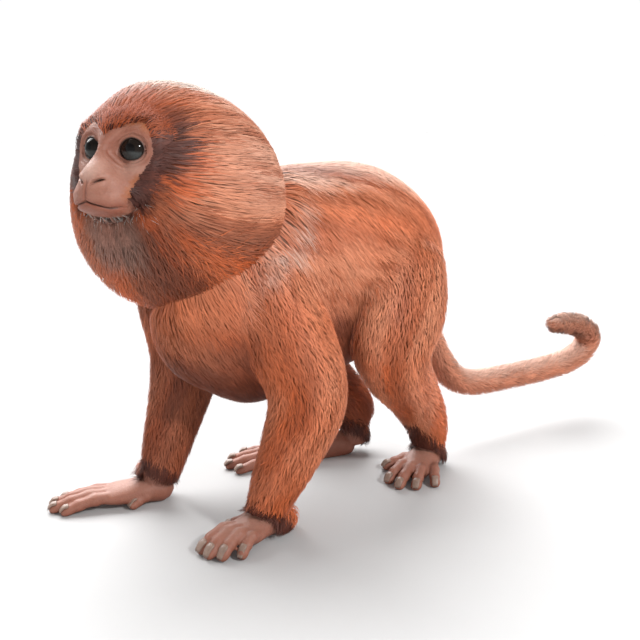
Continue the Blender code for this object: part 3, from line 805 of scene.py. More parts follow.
def pale_and_painted_light_marks(at):
    """Pale in a band behind the mane and under the chin, and painted light where the coat faces upwards: a
    near-white cap on the crown, the top of the back, the upper sides of the mane and the top of the tail.
    """
    # painted light: paler where the coat faces upwards
    top = smoothstep(0.72, 0.95, at.up + 0.35 * (at.streak - 0.5))
    # painted highlight: a near-white cap where the crown faces straight up
    painted_crown_highlight = smoothstep(0.80, 0.88, at.up + 0.14 * (at.streak - 0.5)) * smoothstep(2.6, 4.2, at.place)
    painted_crown_highlight = painted_crown_highlight * smoothstep(8.5, 6.5, at.place)
    on_mane = np.maximum(painted_crown_highlight, 0.45 * top * smoothstep(4, 6, at.place))
    pale_and_painted_light = np.where(at.mane, on_mane, 0.5 * top * smoothstep(120, 160, at.height))
    band = bell(at.reach - 1.08, 0.09) * smoothstep(40, 70, at.points[:, 1]) * smoothstep(95, 125, at.height)
    band = band * smoothstep(0.8, 0.5, np.abs(at.up)) * smoothstep(0.3, 0.6, at.streak + 0.1)
    pale_and_painted_light = np.maximum(pale_and_painted_light, 0.62 * (band * (at.bone < 3) * ~at.mane))
    # painted light on the upper sides of the mane
    side = smoothstep(4.0, 6.0, at.place) * smoothstep(-0.5, 0.25, at.rise)
    side = side * (0.35 + 0.9 * smoothstep(0.35, 0.65, at.streak))
    side = 0.27 * side * smoothstep(-0.2, 0.3, at.rise) * smoothstep(10.5, 8, at.place)
    pale_and_painted_light = np.where(at.mane, np.maximum(pale_and_painted_light, side), pale_and_painted_light)
    # the tail is a little pale all round, with painted light on its top
    pale_and_painted_light = np.where(at.tail, 0.14 + 0.45 * smoothstep(0, 0.9, at.up), pale_and_painted_light)
    return np.maximum(pale_and_painted_light, 0.5 * at.throat) * (1 - at.brow)


def dark_and_painted_shade_marks(at):
    """Dark round the face, on the throat and at the cuffs, and painted shade under the body, on the lower
    flanks, inside the limbs, over the far arm and leg, and low on the mane.
    """
    # painted shade: darker where the coat faces downwards, and on the lower flank
    under = smoothstep(0.3, -0.45, at.up) * np.where(at.bone < 2, 0.72, 0.72 * smoothstep(85, 110, at.height))
    painted_flank_shade = smoothstep(132, 104, at.height) * smoothstep(70, 100, at.points[:, 1]) * (at.bone < 2)
    under = np.maximum(under, 0.7 * painted_flank_shade)
    # painted shade on the inner sides of the limbs and over the far arm and leg
    inner = smoothstep(0.25, 0.9, -at.normals[:, 0] * np.sign(at.points[:, 0])) * at.limb * 0.5
    painted_far_leg_shade = 0.5 * ((at.bone == 3) | (at.bone == 5)) * at.limb
    dark_and_painted_shade = np.where(at.tail, 0, np.maximum(np.maximum(under, inner), painted_far_leg_shade))
    # painted shade on the lower half of the mane
    low = smoothstep(0.15, -0.6, at.rise) * 0.62 * smoothstep(0.25, 0.75, at.cloud)
    dark_and_painted_shade = np.where(at.mane, low * smoothstep(9.5, 6, at.place), dark_and_painted_shade)
    ring = 1 - smoothstep(2, 8, at.beyond + 7 * (at.streak - 0.5) + 3 * smoothstep(0, -0.6, at.rise))
    ring = ring * (0.3 + 0.7 * smoothstep(-29, -23, at.head[:, 2]))
    ring = ring * (0.55 + 0.45 * smoothstep(14, 4, at.head[:, 2]))
    ring = ring * (0.74 + 0.2 * smoothstep(5, 2, at.beyond))
    ringed = at.near & (at.mane | (at.beyond < 16))
    dark_and_painted_shade = np.where(ringed, np.maximum(dark_and_painted_shade, ring), dark_and_painted_shade)
    dark_and_painted_shade = np.maximum(dark_and_painted_shade, 0.55 * at.throat)
    cuff = (1 - smoothstep(2, 5, fur_edge(at.points) + 3 * (at.streak - 0.5))) * at.limb
    dark_and_painted_shade = np.maximum(dark_and_painted_shade, cuff * 0.9)
    return np.maximum(dark_and_painted_shade, 0.3 * at.brow)


def rust_marks(at, dark_and_painted_shade):
    """Rust low on the body and mane, in streaks near the face, and wherever the coat is dark or in painted
    shade.
    """
    rust = 0.12 + 0.6 * smoothstep(0.4, 0.75, at.cloud) * smoothstep(165, 90, at.height) * ~at.tail * ~at.mane
    rust = np.maximum(rust, 0.75 * smoothstep(0.52, 0.34, at.streak))
    rust = np.maximum(rust, 0.65 * bell(at.up - 0.5, 0.22) * (at.height > 130))
    belly = (0.55 + 0.4 * at.cloud) * smoothstep(150, 105, at.height)
    rust = np.maximum(rust, belly * smoothstep(120, 60, at.points[:, 1]))
    rust = np.maximum(rust, dark_and_painted_shade)
    rust = np.maximum(rust, at.limb * (0.4 + 0.5 * smoothstep(0.45, 0.7, at.cloud)))
    warm = (1 - smoothstep(5, 16, at.beyond)) * smoothstep(0.3, 0.55, at.streak)
    below = smoothstep(-0.05, -0.35, at.rise) * (0.65 + 0.3 * smoothstep(0.4, 0.6, at.streak))
    on_mane = np.maximum(0.6 * smoothstep(0.5, 0.34, at.streak), np.maximum(warm, below))
    rust = np.where(at.mane, on_mane, rust)
    rust = np.where(at.near & ~at.mane & (at.beyond < 16), np.maximum(rust, 0.7), rust)
    rust = np.maximum(rust, 0.95 * at.brow)
    return np.where(at.tail, 0.34 + 0.3 * smoothstep(0.2, -0.6, at.up), rust)


def markings(points, normals, mane):
    """The coat's markings at points of the body, each from 0 to 1: pale with painted light, dark with painted
    shade, rust and rough, with the streaks and the place along and across the lie of the hair."""
    at = place_on_coat(points, normals, mane)
    dark_and_painted_shade = dark_and_painted_shade_marks(at)
    # rough on the limbs and low on the mane
    rough = np.maximum(at.limb * 0.8, np.where(mane, smoothstep(-0.15, -0.55, at.rise), 0))
    return {
        "pale_and_painted_light": pale_and_painted_light_marks(at), "dark_and_painted_shade": dark_and_painted_shade, "rust": rust_marks(at, dark_and_painted_shade), "streak": at.streak,
        "rough": rough, "run": at.run, "across": at.across,
    }


def write(obj, values):
    """Stores arrays of one number for each point as attributes of the mesh."""
    for name, numbers in values.items():
        made = obj.data.attributes.new(name, "FLOAT", "POINT")
        made.data.foreach_set("value", np.asarray(numbers, np.float32))


def new_look(name):
    """A material: its node tree, its shader, and the place on the piece in metres."""
    look = bpy.data.materials.new(name)
    look.use_nodes = True
    tree = look.node_tree
    place = tree.nodes.new("ShaderNodeTexCoord").outputs["Object"]
    return look, tree, tree.nodes["Principled BSDF"], place


def plug(tree, socket, value):
    """Sets an input to a number or colour, or links it to a socket."""
    if isinstance(value, bpy.types.NodeSocket):
        tree.links.new(value, socket)
    else:
        socket.default_value = value


def plug_all(tree, made, **inputs):
    """Sets or links a node's inputs.  A name stands for the input of that name, with _ for a
    space, and one such as i2 for the input of that number."""
    for name, value in inputs.items():
        by_number = name[0] == "i" and name[1:].isdigit()
        plug(tree, made.inputs[int(name[1:]) if by_number else name.replace("_", " ")], value)
    return made


def node(tree, kind, **inputs):
    return plug_all(tree, tree.nodes.new(kind), **inputs)


def stored(tree, name):
    """What a mesh stores under a name."""
    made = tree.nodes.new("ShaderNodeAttribute")
    made.attribute_name = name
    return made.outputs["Fac"]


def number(tree, operation, *values, clamp=False):
    """The result of an arithmetic operation."""
    made = tree.nodes.new("ShaderNodeMath")
    made.operation = operation
    made.use_clamp = clamp
    for socket, value in zip(made.inputs, values):
        plug(tree, socket, value)
    return made.outputs[0]


def blended(tree, share, first, second, how="MIX"):
    """A mixture of two colours, by a share of the second."""
    made = tree.nodes.new("ShaderNodeMix")
    made.data_type = "RGBA"
    made.blend_type = how
    plug(tree, made.inputs[0], share)
    for socket, colour in ((made.inputs[6], first), (made.inputs[7], second)):
        plug(tree, socket, (*colour, 1) if isinstance(colour, tuple) else colour)
    return made.outputs[2]


def noise(tree, place, scale, detail=3.0, roughness=0.55):
    made = node(tree, "ShaderNodeTexNoise", Vector=place, Scale=scale, Detail=detail, Roughness=roughness)
    return made.outputs["Fac"]


SALMON = (0.65, 0.245, 0.13)
RUST = (0.54, 0.105, 0.024)
PALE_AND_PAINTED_LIGHT = (0.60, 0.46, 0.385)
DARK_AND_PAINTED_SHADE = (0.060, 0.015, 0.010)


def coat_colour(tree, place):
    """The coat's colour from its stored markings."""
    cloud = number(tree, "SUBTRACT", noise(tree, place, 45.0), 0.5)
    rust = number(tree, "MULTIPLY_ADD", cloud, 0.6, stored(tree, "rust"), clamp=True)
    colour = blended(tree, rust, SALMON, RUST)
    # painted light comes in with the pale mark, and painted shade with the dark one
    colour = blended(tree, stored(tree, "pale_and_painted_light"), colour, PALE_AND_PAINTED_LIGHT)
    colour = blended(tree, stored(tree, "dark_and_painted_shade"), colour, DARK_AND_PAINTED_SHADE)
    shade = number(tree, "MULTIPLY_ADD", stored(tree, "streak"), 1.1, 0.44)
    tone = number(tree, "MULTIPLY", shade, stored(tree, "tone"))
    grey = node(tree, "ShaderNodeCombineColor", Red=tone, Green=tone, Blue=tone).outputs[0]
    return blended(tree, 1.0, colour, grey, "MULTIPLY")


def skin_look():
    """Bare skin, mottled pink and tan, that runs into the coat's colour where hair grows."""
    look, tree, shader, place = new_look("skin")
    fur = stored(tree, "fur")
    mottle = noise(tree, place, 160.0, 4.0)
    bare = blended(tree, mottle, (0.28, 0.102, 0.064), (0.42, 0.19, 0.132))
    # painted highlight on the top of the nose and the cheeks, and painted light on top of the knuckles
    bare = blended(tree, stored(tree, "painted_light"), bare, (0.60, 0.38, 0.305))
    # browner at the mouth and brow, with painted shade on the paws, and orange where down grows
    bare = blended(tree, stored(tree, "brown_and_painted_shade"), bare, (0.24, 0.066, 0.034))
    bare = blended(tree, stored(tree, "down"), bare, (0.36, 0.10, 0.024))
    fine = blended(tree, noise(tree, place, 900.0, 4.0), (0.3, 0.3, 0.3), (1.0, 1.0, 1.0))
    bare = blended(tree, 0.35, bare, fine, "MULTIPLY")
    # painted shade in the nostrils and between the lips, and the lids' dark rims
    bare = blended(tree, stored(tree, "shade"), bare, (0.028, 0.012, 0.008))
    # wrinkles and pores on the bare skin, hair lines under the coat
    along = number(tree, "MULTIPLY", stored(tree, "run"), 0.12)
    across = number(tree, "MULTIPLY", stored(tree, "across"), 1.1)
    chart = node(tree, "ShaderNodeCombineXYZ", X=along, Y=across).outputs[0]
    hairs = number(tree, "MULTIPLY", noise(tree, chart, 1.0, 3.0, 0.6), 3.0)
    cells = node(tree, "ShaderNodeTexVoronoi", Vector=place, Scale=1100.0).outputs["Distance"]
    pores = number(tree, "MULTIPLY", cells, 0.5)
    wrinkles = number(tree, "ADD", noise(tree, place, 520.0, 5.0, 0.7), pores)
    height = node(tree, "ShaderNodeMix", i0=fur, i2=wrinkles, i3=hairs).outputs[0]
    bump = node(tree, "ShaderNodeBump", Strength=0.55, Distance=0.0003, Height=height)
    rough = number(tree, "MULTIPLY_ADD", noise(tree, place, 300.0), 0.2, 0.42)
    plug_all(
        tree, shader, Base_Color=blended(tree, fur, bare, coat_colour(tree, place)),
        Roughness=number(tree, "MULTIPLY_ADD", fur, 0.25, rough, clamp=True), Normal=bump.outputs[0],
        Subsurface_Weight=0.12, Subsurface_Radius=(1.0, 0.35, 0.2), Subsurface_Scale=0.0012,
        Specular_IOR_Level=0.4,
    )
    return look


def face_shades(points):
    """Markings of the bare skin of the face, each from 0 to 1, with painted shade in the nostrils and along
    the mouth and a painted highlight on the nose and cheeks.
    """
    left, front, up = points.T
    far = np.abs(left)
    beyond = beyond_face(points)
    eyes = [eye_coordinates(points, side) for side in (1, -1)]
    rim = np.minimum(eyes[0][0], eyes[1][0])
    ahead = smoothstep(-5, -2, front)
    shade = (1 - smoothstep(1.04, 1.2, rim)) * smoothstep(-6, -3, front)
    # painted shade in the nostril slits and along the line of the mouth
    slit = np.zeros(len(points))
    for side in (1, -1):
        slit = np.maximum(slit, crease(points, side, *NOSTRIL, 0.5, NOSTRIL_BOW))
    mouth = bell(up - mouth_line(left), 0.42) * (1 - smoothstep(9.5, 12.5, far)) * ahead
    shade = np.maximum(shade, np.maximum(smoothstep(0.25, 0.8, slit), 0.85 * smoothstep(0.3, 0.9, mouth)))
    brown_and_painted_shade = 0.75 * smoothstep(-21.5, -25, up) * smoothstep(0, 5, front)
    brown_and_painted_shade = np.maximum(brown_and_painted_shade, 0.45 * bell(left, 1.6) * smoothstep(-14, -16, up) * ahead)
    brown_and_painted_shade = np.maximum(brown_and_painted_shade, 0.5 * bell(rim - 1.75, 0.35) * (1 - smoothstep(-5, -9, up)))
    brown_and_painted_shade = np.maximum(brown_and_painted_shade, 0.35 * smoothstep(8, 2, far) * smoothstep(-4, 5, up))
    # painted highlight on the top of the nose and on the cheeks
    painted_light = 0.8 * np.exp(-((left / 4.6) ** 2 + ((up + 10.5) / 4.5) ** 2)) * ahead
    painted_light = np.maximum(painted_light, 0.4 * bell(far - 13, 5) * bell(up + 7, 4))
    temple_or_cheek = np.maximum(smoothstep(4, 10, up), smoothstep(-9, -13, up) * smoothstep(-24, -19, up))
    down = smoothstep(-3.6, -1.2, beyond) * temple_or_cheek * smoothstep(6, 11, far)
    near = np.linalg.norm(points, axis=1) < NEAR_HEAD
    return {"shade": shade * near, "brown_and_painted_shade": brown_and_painted_shade * near, "painted_light": painted_light * near, "down": 0.7 * down * near}


MANE_NEARNESS, MANE_BACK = 1.3, -96
SKULL_MIDDLE, SKULL_RADIUS = np.array((0, -12, -8)), 34
SWEPT_BACK = 9.0
# painted shade: the skin under the coat is darker between the tufts
UNDER_COAT_SHADE = 0.8  # tone of the skin between the tufts


def mark_skin():
    """Stores the markings on the skin, and gives what the coat needs to know of it."""
    points = in_body(points_of(skin))
    normals = points_of(skin, "normal")
    head = world_to_head(points_of(skin))
    place, mane_turn, reach = in_mane(points)
    half = np.interp(place * MANE_STEPS, np.arange(len(mane_rows)), mane_rows[:, 2:5].mean(1))
    on_ball = np.abs((1 - reach) * half - mane_depth(place)) < MANE_NEARNESS
    on_ball &= (head[:, 1] > MANE_BACK) & (head[:, 1] < 0)
    on_head = (np.linalg.norm(head - SKULL_MIDDLE, axis=1) < SKULL_RADIUS) & ~on_ball
    mane = on_ball | on_head
    marks = markings(points, normals, mane)
    marks.pop("rough")
    bone, run, turn, lie = on_body(points, normals)
    # on the mane it runs away from the middle of the face, and back
    away = np.stack((head[:, 0], np.full(len(head), -SWEPT_BACK), head[:, 2] - FACE_HUB[1]), -1)
    radial = in_body(head_to_world(head + away)) - points
    lie = np.where(mane[:, None], laid(unit(radial), normals), lie)
    chart = np.stack((np.clip(run / BONE_LENGTH[bone], 0, 1), turn / (2 * pi) + 0.5), -1)
    whole = np.stack((np.clip(place / len(MANE), 0, 1), (mane_turn / (2 * pi) + 0.75) % 1), -1)
    chart = np.where(mane[:, None], whole, chart)
    edge = fur_edge(points)
    fine = 0.7 * (grain(points[:, 0] * 1.3 + points[:, 1], points[:, 2] * 1.3 + points[:, 1], 7) - 0.5)
    fur = smoothstep(-0.5, 0.5, edge + fine)
    shades = face_shades(head)
    # paws: painted light on top of the knuckles, and painted shade over the whole paw, deepest between and
    # under the digits
    paw = (points[:, 2] < PAW_TOP) & (fur < 0.5)
    shades["brown_and_painted_shade"] = np.where(paw, 0.3 + 0.4 * smoothstep(0.3, -0.7, normals[:, 2]), shades["brown_and_painted_shade"])
    painted_knuckle_light = 0.35 * smoothstep(0.5, 1, normals[:, 2]) * smoothstep(6, 12, points[:, 2])
    shades["painted_light"] = np.where(paw, painted_knuckle_light, shades["painted_light"])
    write(skin, {**marks, "fur": fur, "tone": np.full(len(points), UNDER_COAT_SHADE), **shades})
    return bone, lie, edge, on_ball, on_head, chart, marks


skin_bone, skin_lie, skin_edge, skin_on_ball, skin_on_head, skin_chart, skin_marks = mark_skin()
skin.data.materials.clear()
skin.data.materials.append(skin_look())
skin.data.shade_smooth()
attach(skin, "root")
FLESH = [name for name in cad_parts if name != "mane" and not name.startswith("eye")]
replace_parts(skin, *FLESH)


# ---- Nails --------------------------------------------------------------------------------
# Thin rounded plates of brown-grey horn, smooth and a little shiny, curved across and along.
# Each one grows out of the end of its digit.
NAIL_LENGTH, NAIL_THICK, NAIL_BEYOND = 4.8, 0.9, 1.1
NAIL_ACROSS, NAIL_ALONG = 9, 10  # points across it and along it


def nail(row):
    """Points and faces of one nail in the paw's frame."""
    root_a, root_b, _, tip_a, tip_b, _, thick = row
    length = np.hypot(tip_a - root_a, tip_b - root_b)
    half = thick * 0.62
    start = 1 - (NAIL_LENGTH - NAIL_BEYOND) / length
    lengthwise, crosswise = np.linspace(0, 1, NAIL_ALONG), np.linspace(-1, 1, NAIL_ACROSS)
    along, across = np.meshgrid(lengthwise, crosswise, indexing="ij")
    share = start + along * NAIL_LENGTH / length
    wide = half * np.sqrt(np.clip(1 - (1.7 * along - 0.85) ** 8, 0, 1)) * (1 - 0.25 * along**3)
    way = np.array((tip_a - root_a, tip_b - root_b)) / length
    middle_a = root_a + (tip_a - root_a) * share
    middle_b = root_b + (tip_b - root_b) * share
    high = np.interp(share, *np.array([(s, h) for s, _, h in DIGIT_SHAPE[:-1]]).T) * thick * 0.95
    top = digit_height(row, np.minimum(share, 1)) - PRESSED + high + 0.75 + 1.2 * np.sin(pi * along**1.3)
    top = top - 1.2 * along**2.6 - 0.5 * thick * (across * wide / thick) ** 2
    a = middle_a + way[1] * across * wide
    b = middle_b - way[0] * across * wide
    outer = np.stack((a, b, top), -1)
    inner = outer - (0, 0, NAIL_THICK)
    points = np.concatenate([outer.reshape(-1, 3), inner.reshape(-1, 3)])
    count = NAIL_ALONG * NAIL_ACROSS
    faces = []
    for i in range(NAIL_ALONG - 1):
        for j in range(NAIL_ACROSS - 1):
            k = i * NAIL_ACROSS + j
            faces.append((k, k + 1, k + 1 + NAIL_ACROSS, k + NAIL_ACROSS))
            faces.append((k + count, k + count + NAIL_ACROSS, k + count + 1 + NAIL_ACROSS, k + count + 1))
    rim = list(range(NAIL_ACROSS))
    rim += [i * NAIL_ACROSS + NAIL_ACROSS - 1 for i in range(1, NAIL_ALONG)]
    rim += [count - 1 - j for j in range(1, NAIL_ACROSS)]
    rim += [(NAIL_ALONG - 1 - i) * NAIL_ACROSS for i in range(1, NAIL_ALONG - 1)]
    for k, following in zip(rim, rim[1:] + rim[:1]):
        faces.append((k, following, following + count, k + count))
    return points, np.array(faces)


def nails_piece():
    points, faces, start = [], [], 0
    for where, _, _, digits, _ in PAWS.values():
        axes, origin, _ = paw_axes(**where)
        for row in digits:
            made, joined = nail(row)
            points.append(made @ axes + origin)
            faces.append(joined + start)
            start += len(made)
    return turned_out(new_piece("nails", placed(np.concatenate(points)), np.concatenate(faces)))


def nail_look():
    look, tree, shader, place = new_look("nail")
    grow = noise(tree, place, 700.0, 3.0)
    bump = node(tree, "ShaderNodeBump", Strength=0.3, Distance=0.0001, Height=noise(tree, place, 1500.0))
    plug_all(
        tree, shader, Base_Color=blended(tree, grow, (0.16, 0.10, 0.075), (0.34, 0.23, 0.18)),
        Roughness=number(tree, "MULTIPLY_ADD", grow, 0.2, 0.28), Normal=bump.outputs[0],
    )
    return look


nails = nails_piece()
nails.data.materials.append(nail_look())
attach(nails, "root")


# ---- Eyes ---------------------------------------------------------------------------------
# Large dark brown eyes of glass, almost black in the shade of the lids, with a wet, slightly
# domed cornea.  Each is set into its socket, turned a little outwards.
CORNEA = (3.7, 0.55)  # half width of its dome, and how far it stands out
PUPIL, IRIS = 2.3, 5.0  # their radii


def eye_look():
    look, tree, shader, place = new_look("eye")
    reach = stored(tree, "reach")
    fibres = noise(tree, place, 1400.0, 4.0)
    iris = blended(tree, fibres, (0.006, 0.004, 0.003), (0.016, 0.010, 0.007))
    # painted light: the paler grey of the iris's lower half
    painted_glow = blended(tree, fibres, (0.030, 0.033, 0.033), (0.06, 0.063, 0.06))
    pupil = number(tree, "LESS_THAN", reach, PUPIL)
    iris = blended(tree, pupil, iris, (0.003, 0.002, 0.002))
    colour = blended(tree, stored(tree, "painted_glow"), iris, painted_glow)
    white = number(tree, "GREATER_THAN", reach, IRIS)
    colour = blended(tree, white, colour, (0.02, 0.012, 0.009))
    rough = number(tree, "MULTIPLY_ADD", fibres, 0.04, 0.05)
    plug_all(tree, shader, Base_Color=colour, Roughness=rough, Specular_IOR_Level=0.14)
    return look


def eyeball(name, side, look):
    rings, spokes = 48, 72
    tilts = np.arange(1, rings + 1) * pi / (rings + 1)
    tilt, turn = np.meshgrid(tilts, np.arange(spokes) * 2 * pi / spokes, indexing="ij")
    reach = EYE_RADIUS * np.sin(tilt)
    axial = EYE_RADIUS * np.cos(tilt)
    wide, dome = CORNEA
    axial = axial + dome * np.clip(1 - (reach / wide) ** 2, 0, 1) ** 1.5 * (tilt < pi / 2)
    across, up = reach * np.sin(turn), reach * np.cos(turn)
    outer = across * cos(EYE_SPLAY) + axial * sin(EYE_SPLAY)
    front = axial * cos(EYE_SPLAY) - across * sin(EYE_SPLAY)
    points = np.stack((outer * side, front, up), -1).reshape(-1, 3)
    axis = np.array((sin(EYE_SPLAY) * side, cos(EYE_SPLAY), 0))
    ends = np.stack(((EYE_RADIUS + dome) * axis, -EYE_RADIUS * axis))
    points = np.concatenate([points, ends]) + EYE_PLACE * (side, 1, 1)
    made = turned_out(new_piece(name, head_to_world(points), grid_faces(rings, spokes), look))
    far = np.concatenate([np.where(tilt < pi / 2, reach, EYE_RADIUS).ravel(), [0, EYE_RADIUS]])
    # painted light: the lower half of the iris is paler, as if lit from above through the cornea
    height = np.concatenate([(up / EYE_RADIUS).ravel(), [0, 0]])
    write(made, {"reach": far, "painted_glow": smoothstep(-0.12, -0.3, height)})
    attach(made, "root")
    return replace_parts(made, name.replace("ball", "eye"))


wet_eye = eye_look()
for side, name in ((1, "ball_left"), (-1, "ball_right")):
    eyeball(name, side, wet_eye)


# ---- The coat -----------------------------------------------------------------------------
# Silky hair that lies close on the body in tufts of about 15 mm, shorter and rougher on the
# limbs, short and fuzzy on the tail.  Each tuft is a thin three-sided spike that is set into
# the skin, runs along the lie of the coat and ends at the coat's surface.
THINNED = 1.0
LEAN = 0.15  # how far the shading turns away from the skin's over a tuft's sides
CHART_STEP = 0.003  # size of one tuft on the unwrapped skin


def tufts(name, paths, outward, widths, marks, chart, look, flat):
    """Tapering tufts in one mesh.  `paths` holds, for each tuft, its points from root to tip
    in the body's frame; `chart` is the root's place on the unwrapped skin, from 0 to 1;
    `flat` is a tuft's height over its width."""
    count, stops, _ = paths.shape
    rings = stops - 1
    along = unit(np.gradient(paths, axis=1))
    side = unit(np.cross(along, outward[:, None]))
    top = np.cross(side, along)
    taper = (1 - 0.45 * (np.arange(rings) / rings) ** 1.2)[None, :, None]
    half = widths[:, None, None] / 2 * taper
    centre, side, top = paths[:, :rings], side[:, :rings], top[:, :rings]
    corners = np.stack((centre - side * half, centre + side * half, centre + top * half * 2 * flat), 2)
    points = np.concatenate([corners.reshape(count, rings * 3, 3), paths[:, -1:]], 1)
    lean = np.stack((-side, side, top), 2).reshape(count, rings * 3, 3)
    lean = np.concatenate([lean, along[:, -1:] * 0], 1)
    shading = unit(outward[:, None] + LEAN * lean)
    faces = [(0, 1, 2)]
    for ring in range(rings - 1):
        for i, j in ((0, 1), (1, 2), (2, 0)):
            a, b = ring * 3 + i, ring * 3 + j
            faces += [(a, b + 3, b), (a, a + 3, b + 3)]
    last = (rings - 1) * 3
    faces += [(last + j, last + i, rings * 3) for i, j in ((0, 1), (1, 2), (2, 0))]
    size = rings * 3 + 1
    faces = (np.array(faces)[None] + size * np.arange(count)[:, None, None]).reshape(-1, 3)
    made = new_piece(name, placed(points.reshape(-1, 3)), faces, look)
    step = np.concatenate([np.repeat(np.arange(rings), 3), [rings]]) / rings
    stored_marks = {key: np.repeat(value, size) for key, value in marks.items() if key != "tone"}
    # painted shade: each tuft is darker towards its root, deep in the coat
    stored_marks["tone"] = (marks["tone"][:, None] * (0.92 + 0.14 * step[None])).ravel()
    write(made, stored_marks)
    patch = np.stack((step - 0.5, np.append(np.tile((-0.5, 0.5, 0), rings), 0)), -1) * CHART_STEP
    corner_uv = (chart[:, None] + patch[None]).reshape(-1, 2)[faces.ravel()]
    layer = made.data.uv_layers.new(name="OFBake")
    layer.data.foreach_set("uv", corner_uv.astype(np.float32).ravel())
    made.data.normals_split_custom_set_from_vertices(shading.reshape(-1, 3).astype(np.float32))
    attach(made, "root")
    return made


def triangles_of(obj):
    obj.data.calc_loop_triangles()
    out = np.empty(len(obj.data.loop_triangles) * 3, np.int32)
    obj.data.loop_triangles.foreach_get("vertices", out)
    return out.reshape(-1, 3)


skin_triangles = triangles_of(skin)
skin_tree = BVHTree.FromObject(skin, bpy.context.evaluated_depsgraph_get())


def on_skin(points):
    """The nearest places of the skin, and its directions outwards there."""
    spots, outward = np.empty_like(points), np.empty_like(points)
    for i, point in enumerate(placed(points)):
        spot, normal, _, _ = skin_tree.find_nearest(point)
        spots[i] = spot
        outward[i] = normal
    return in_body(spots), outward


def scattered(region, count, rng):
    """Places spread evenly over part of the skin: the triangle that each lies in, and the
    shares that the triangle's corners have in it."""
    triangles = skin_triangles[region[skin_triangles[:, 0]]]
    a, b, c = (skin_points[triangles[:, k]] for k in range(3))
    total = np.cumsum(np.linalg.norm(np.cross(b - a, c - a), axis=1))
    picks = np.searchsorted(total, (np.arange(count) + rng.random(count)) / count * total[-1])
    picks = np.minimum(picks, len(triangles) - 1)
    first, second = rng.random((2, count))
    over = first + second > 1
    first, second = np.where(over, 1 - first, first), np.where(over, 1 - second, second)
    return triangles[picks], np.stack((1 - first - second, first, second), -1)


ROOT_DEPTH = 0.3  # how deep a tuft is set into the skin
LOWEST = 0.3  # no hair comes nearer to the floor
TUFT_STOPS = (0.45, 1.0)  # shares of a tuft's length at its middle and its tip


def grown(name, region, count, seed, length, depth, width, jitter, clump, cell, lift=(0.75, 1.0),
          bend=None, look=None, uneven=0.14, paint=None, flat=0.35):
    """Tufts on the part of the skin where `region` is true for a triangle's first corner.
    `clump` is how far those of one lock, `cell` across, lean together; `lift` is how much of
    `depth` their roots rise; `bend` turns them, `paint` overrides their markings."""
    rng = np.random.default_rng(seed)
    count = int(count * THINNED)
    trio, share = scattered(region, count, rng)

    def mixed(values):
        return np.einsum("nk,nk...->n...", share, values[trio])

    root, outward = mixed(skin_points), unit(mixed(skin_normals))
    lie = laid(mixed(skin_lie), outward)
    if bend is not None:
        lie = laid(unit(lie + bend), outward)
    side = np.cross(outward, lie)
    drift = grain(root[:, 0] / 5 + 3 * root[:, 1] / 11, root[:, 2] / 5 + root[:, 1] / 9, seed + 50) - 0.5
    swing = jitter * rng.normal(size=count) + 0.5 * drift
    way = unit(lie + side * swing[:, None])
    reach = length * (0.75 + 0.5 * rng.random(count))
    # hairs of one lock lean together
    lock = np.floor((root + 0.3 * cell * rng.random(3)) / cell)
    gather = (lock + 0.5) * cell - root
    for axis in (outward, way):
        gather -= (gather * axis).sum(1, keepdims=True) * axis
    high = depth * (lift[0] + (lift[1] - lift[0]) * rng.random(count))
    paths = np.empty((count, 3, 3))
    paths[:, 0] = root - outward * ROOT_DEPTH
    for stop, at in enumerate(TUFT_STOPS, 1):
        straight = root + way * (reach * at)[:, None] + gather * (clump * at**1.5)
        spot, normal = on_skin(straight)
        rise = high * (1 - (1 - at) ** 2.2)
        paths[:, stop] = spot + normal * rise[:, None]
    paths[:, :, 2] = np.maximum(paths[:, :, 2], LOWEST)
    marks = {key: mixed(values) for key, values in skin_marks.items()}
    marks["tone"] = 1 + uneven * (2 * rng.random(count) - 1)
    for key, value in (paint or {}).items():
        marks[key] = np.full(count, float(value))
    widths = width * (0.7 + 0.6 * rng.random(count))
    chart = 0.02 + 0.96 * mixed(skin_chart)
    return tufts(name, paths, outward, widths, marks, chart, look or coat_hair, flat)


def coat_look(name):
    look, tree, shader, place = new_look(name)
    plug_all(
        tree, shader, Base_Color=coat_colour(tree, place),
        Roughness=number(tree, "MULTIPLY_ADD", noise(tree, place, 800.0), 0.25, 0.42),
        Specular_IOR_Level=0.35, Sheen_Weight=0.08, Sheen_Roughness=0.4,
    )
    return look


coat_hair = coat_look("coat")
skin_points, skin_normals = in_body(points_of(skin)), points_of(skin, "normal")
skin_head = world_to_head(points_of(skin))
BONE_NAMES = list(BODY)


def coat_region(*names):
    return np.isin(skin_bone, [BONE_NAMES.index(name) for name in names]) & furred


haired = (skin_edge > -0.2) & ~skin_on_ball
furred = haired & ~skin_on_head
mane_place, _, mane_reach = in_mane(skin_points)
covered = (mane_reach < 0.95) & (mane_place > 2) & (mane_place < 10.9)
left_side = skin_points[:, 0] >= 0
trunk_region = coat_region("trunk", "neck") & ~covered
TRUNK_TUFTS, LIMB_TUFTS, TAIL_TUFTS = 17500, 11500, 11000
for name, region in (("coat_left", trunk_region & left_side), ("coat_right", trunk_region & ~left_side)):
    made = grown(
        name, region, TRUNK_TUFTS, 11, length=15, depth=3.4, width=0.62, jitter=0.1, clump=0.3,
        cell=4.5, uneven=0.1, flat=0.25,
    )
for seed, name in enumerate(("arm_left", "arm_right", "leg_left", "leg_right"), 20):
    made = grown(
        "coat_" + name, coat_region(name) & ~covered, LIMB_TUFTS, seed, length=7.5,
        depth=3.0, width=0.62, jitter=0.2, clump=0.55, cell=2.4, lift=(0.6, 1.1), uneven=0.16,
    )
made = grown(
    "coat_tail", coat_region("tail"), TAIL_TUFTS, 30, length=5.5, depth=2.7, width=0.5,
    jitter=0.35, clump=0.4, cell=2.0, lift=(0.7, 1.3), uneven=0.12,
)
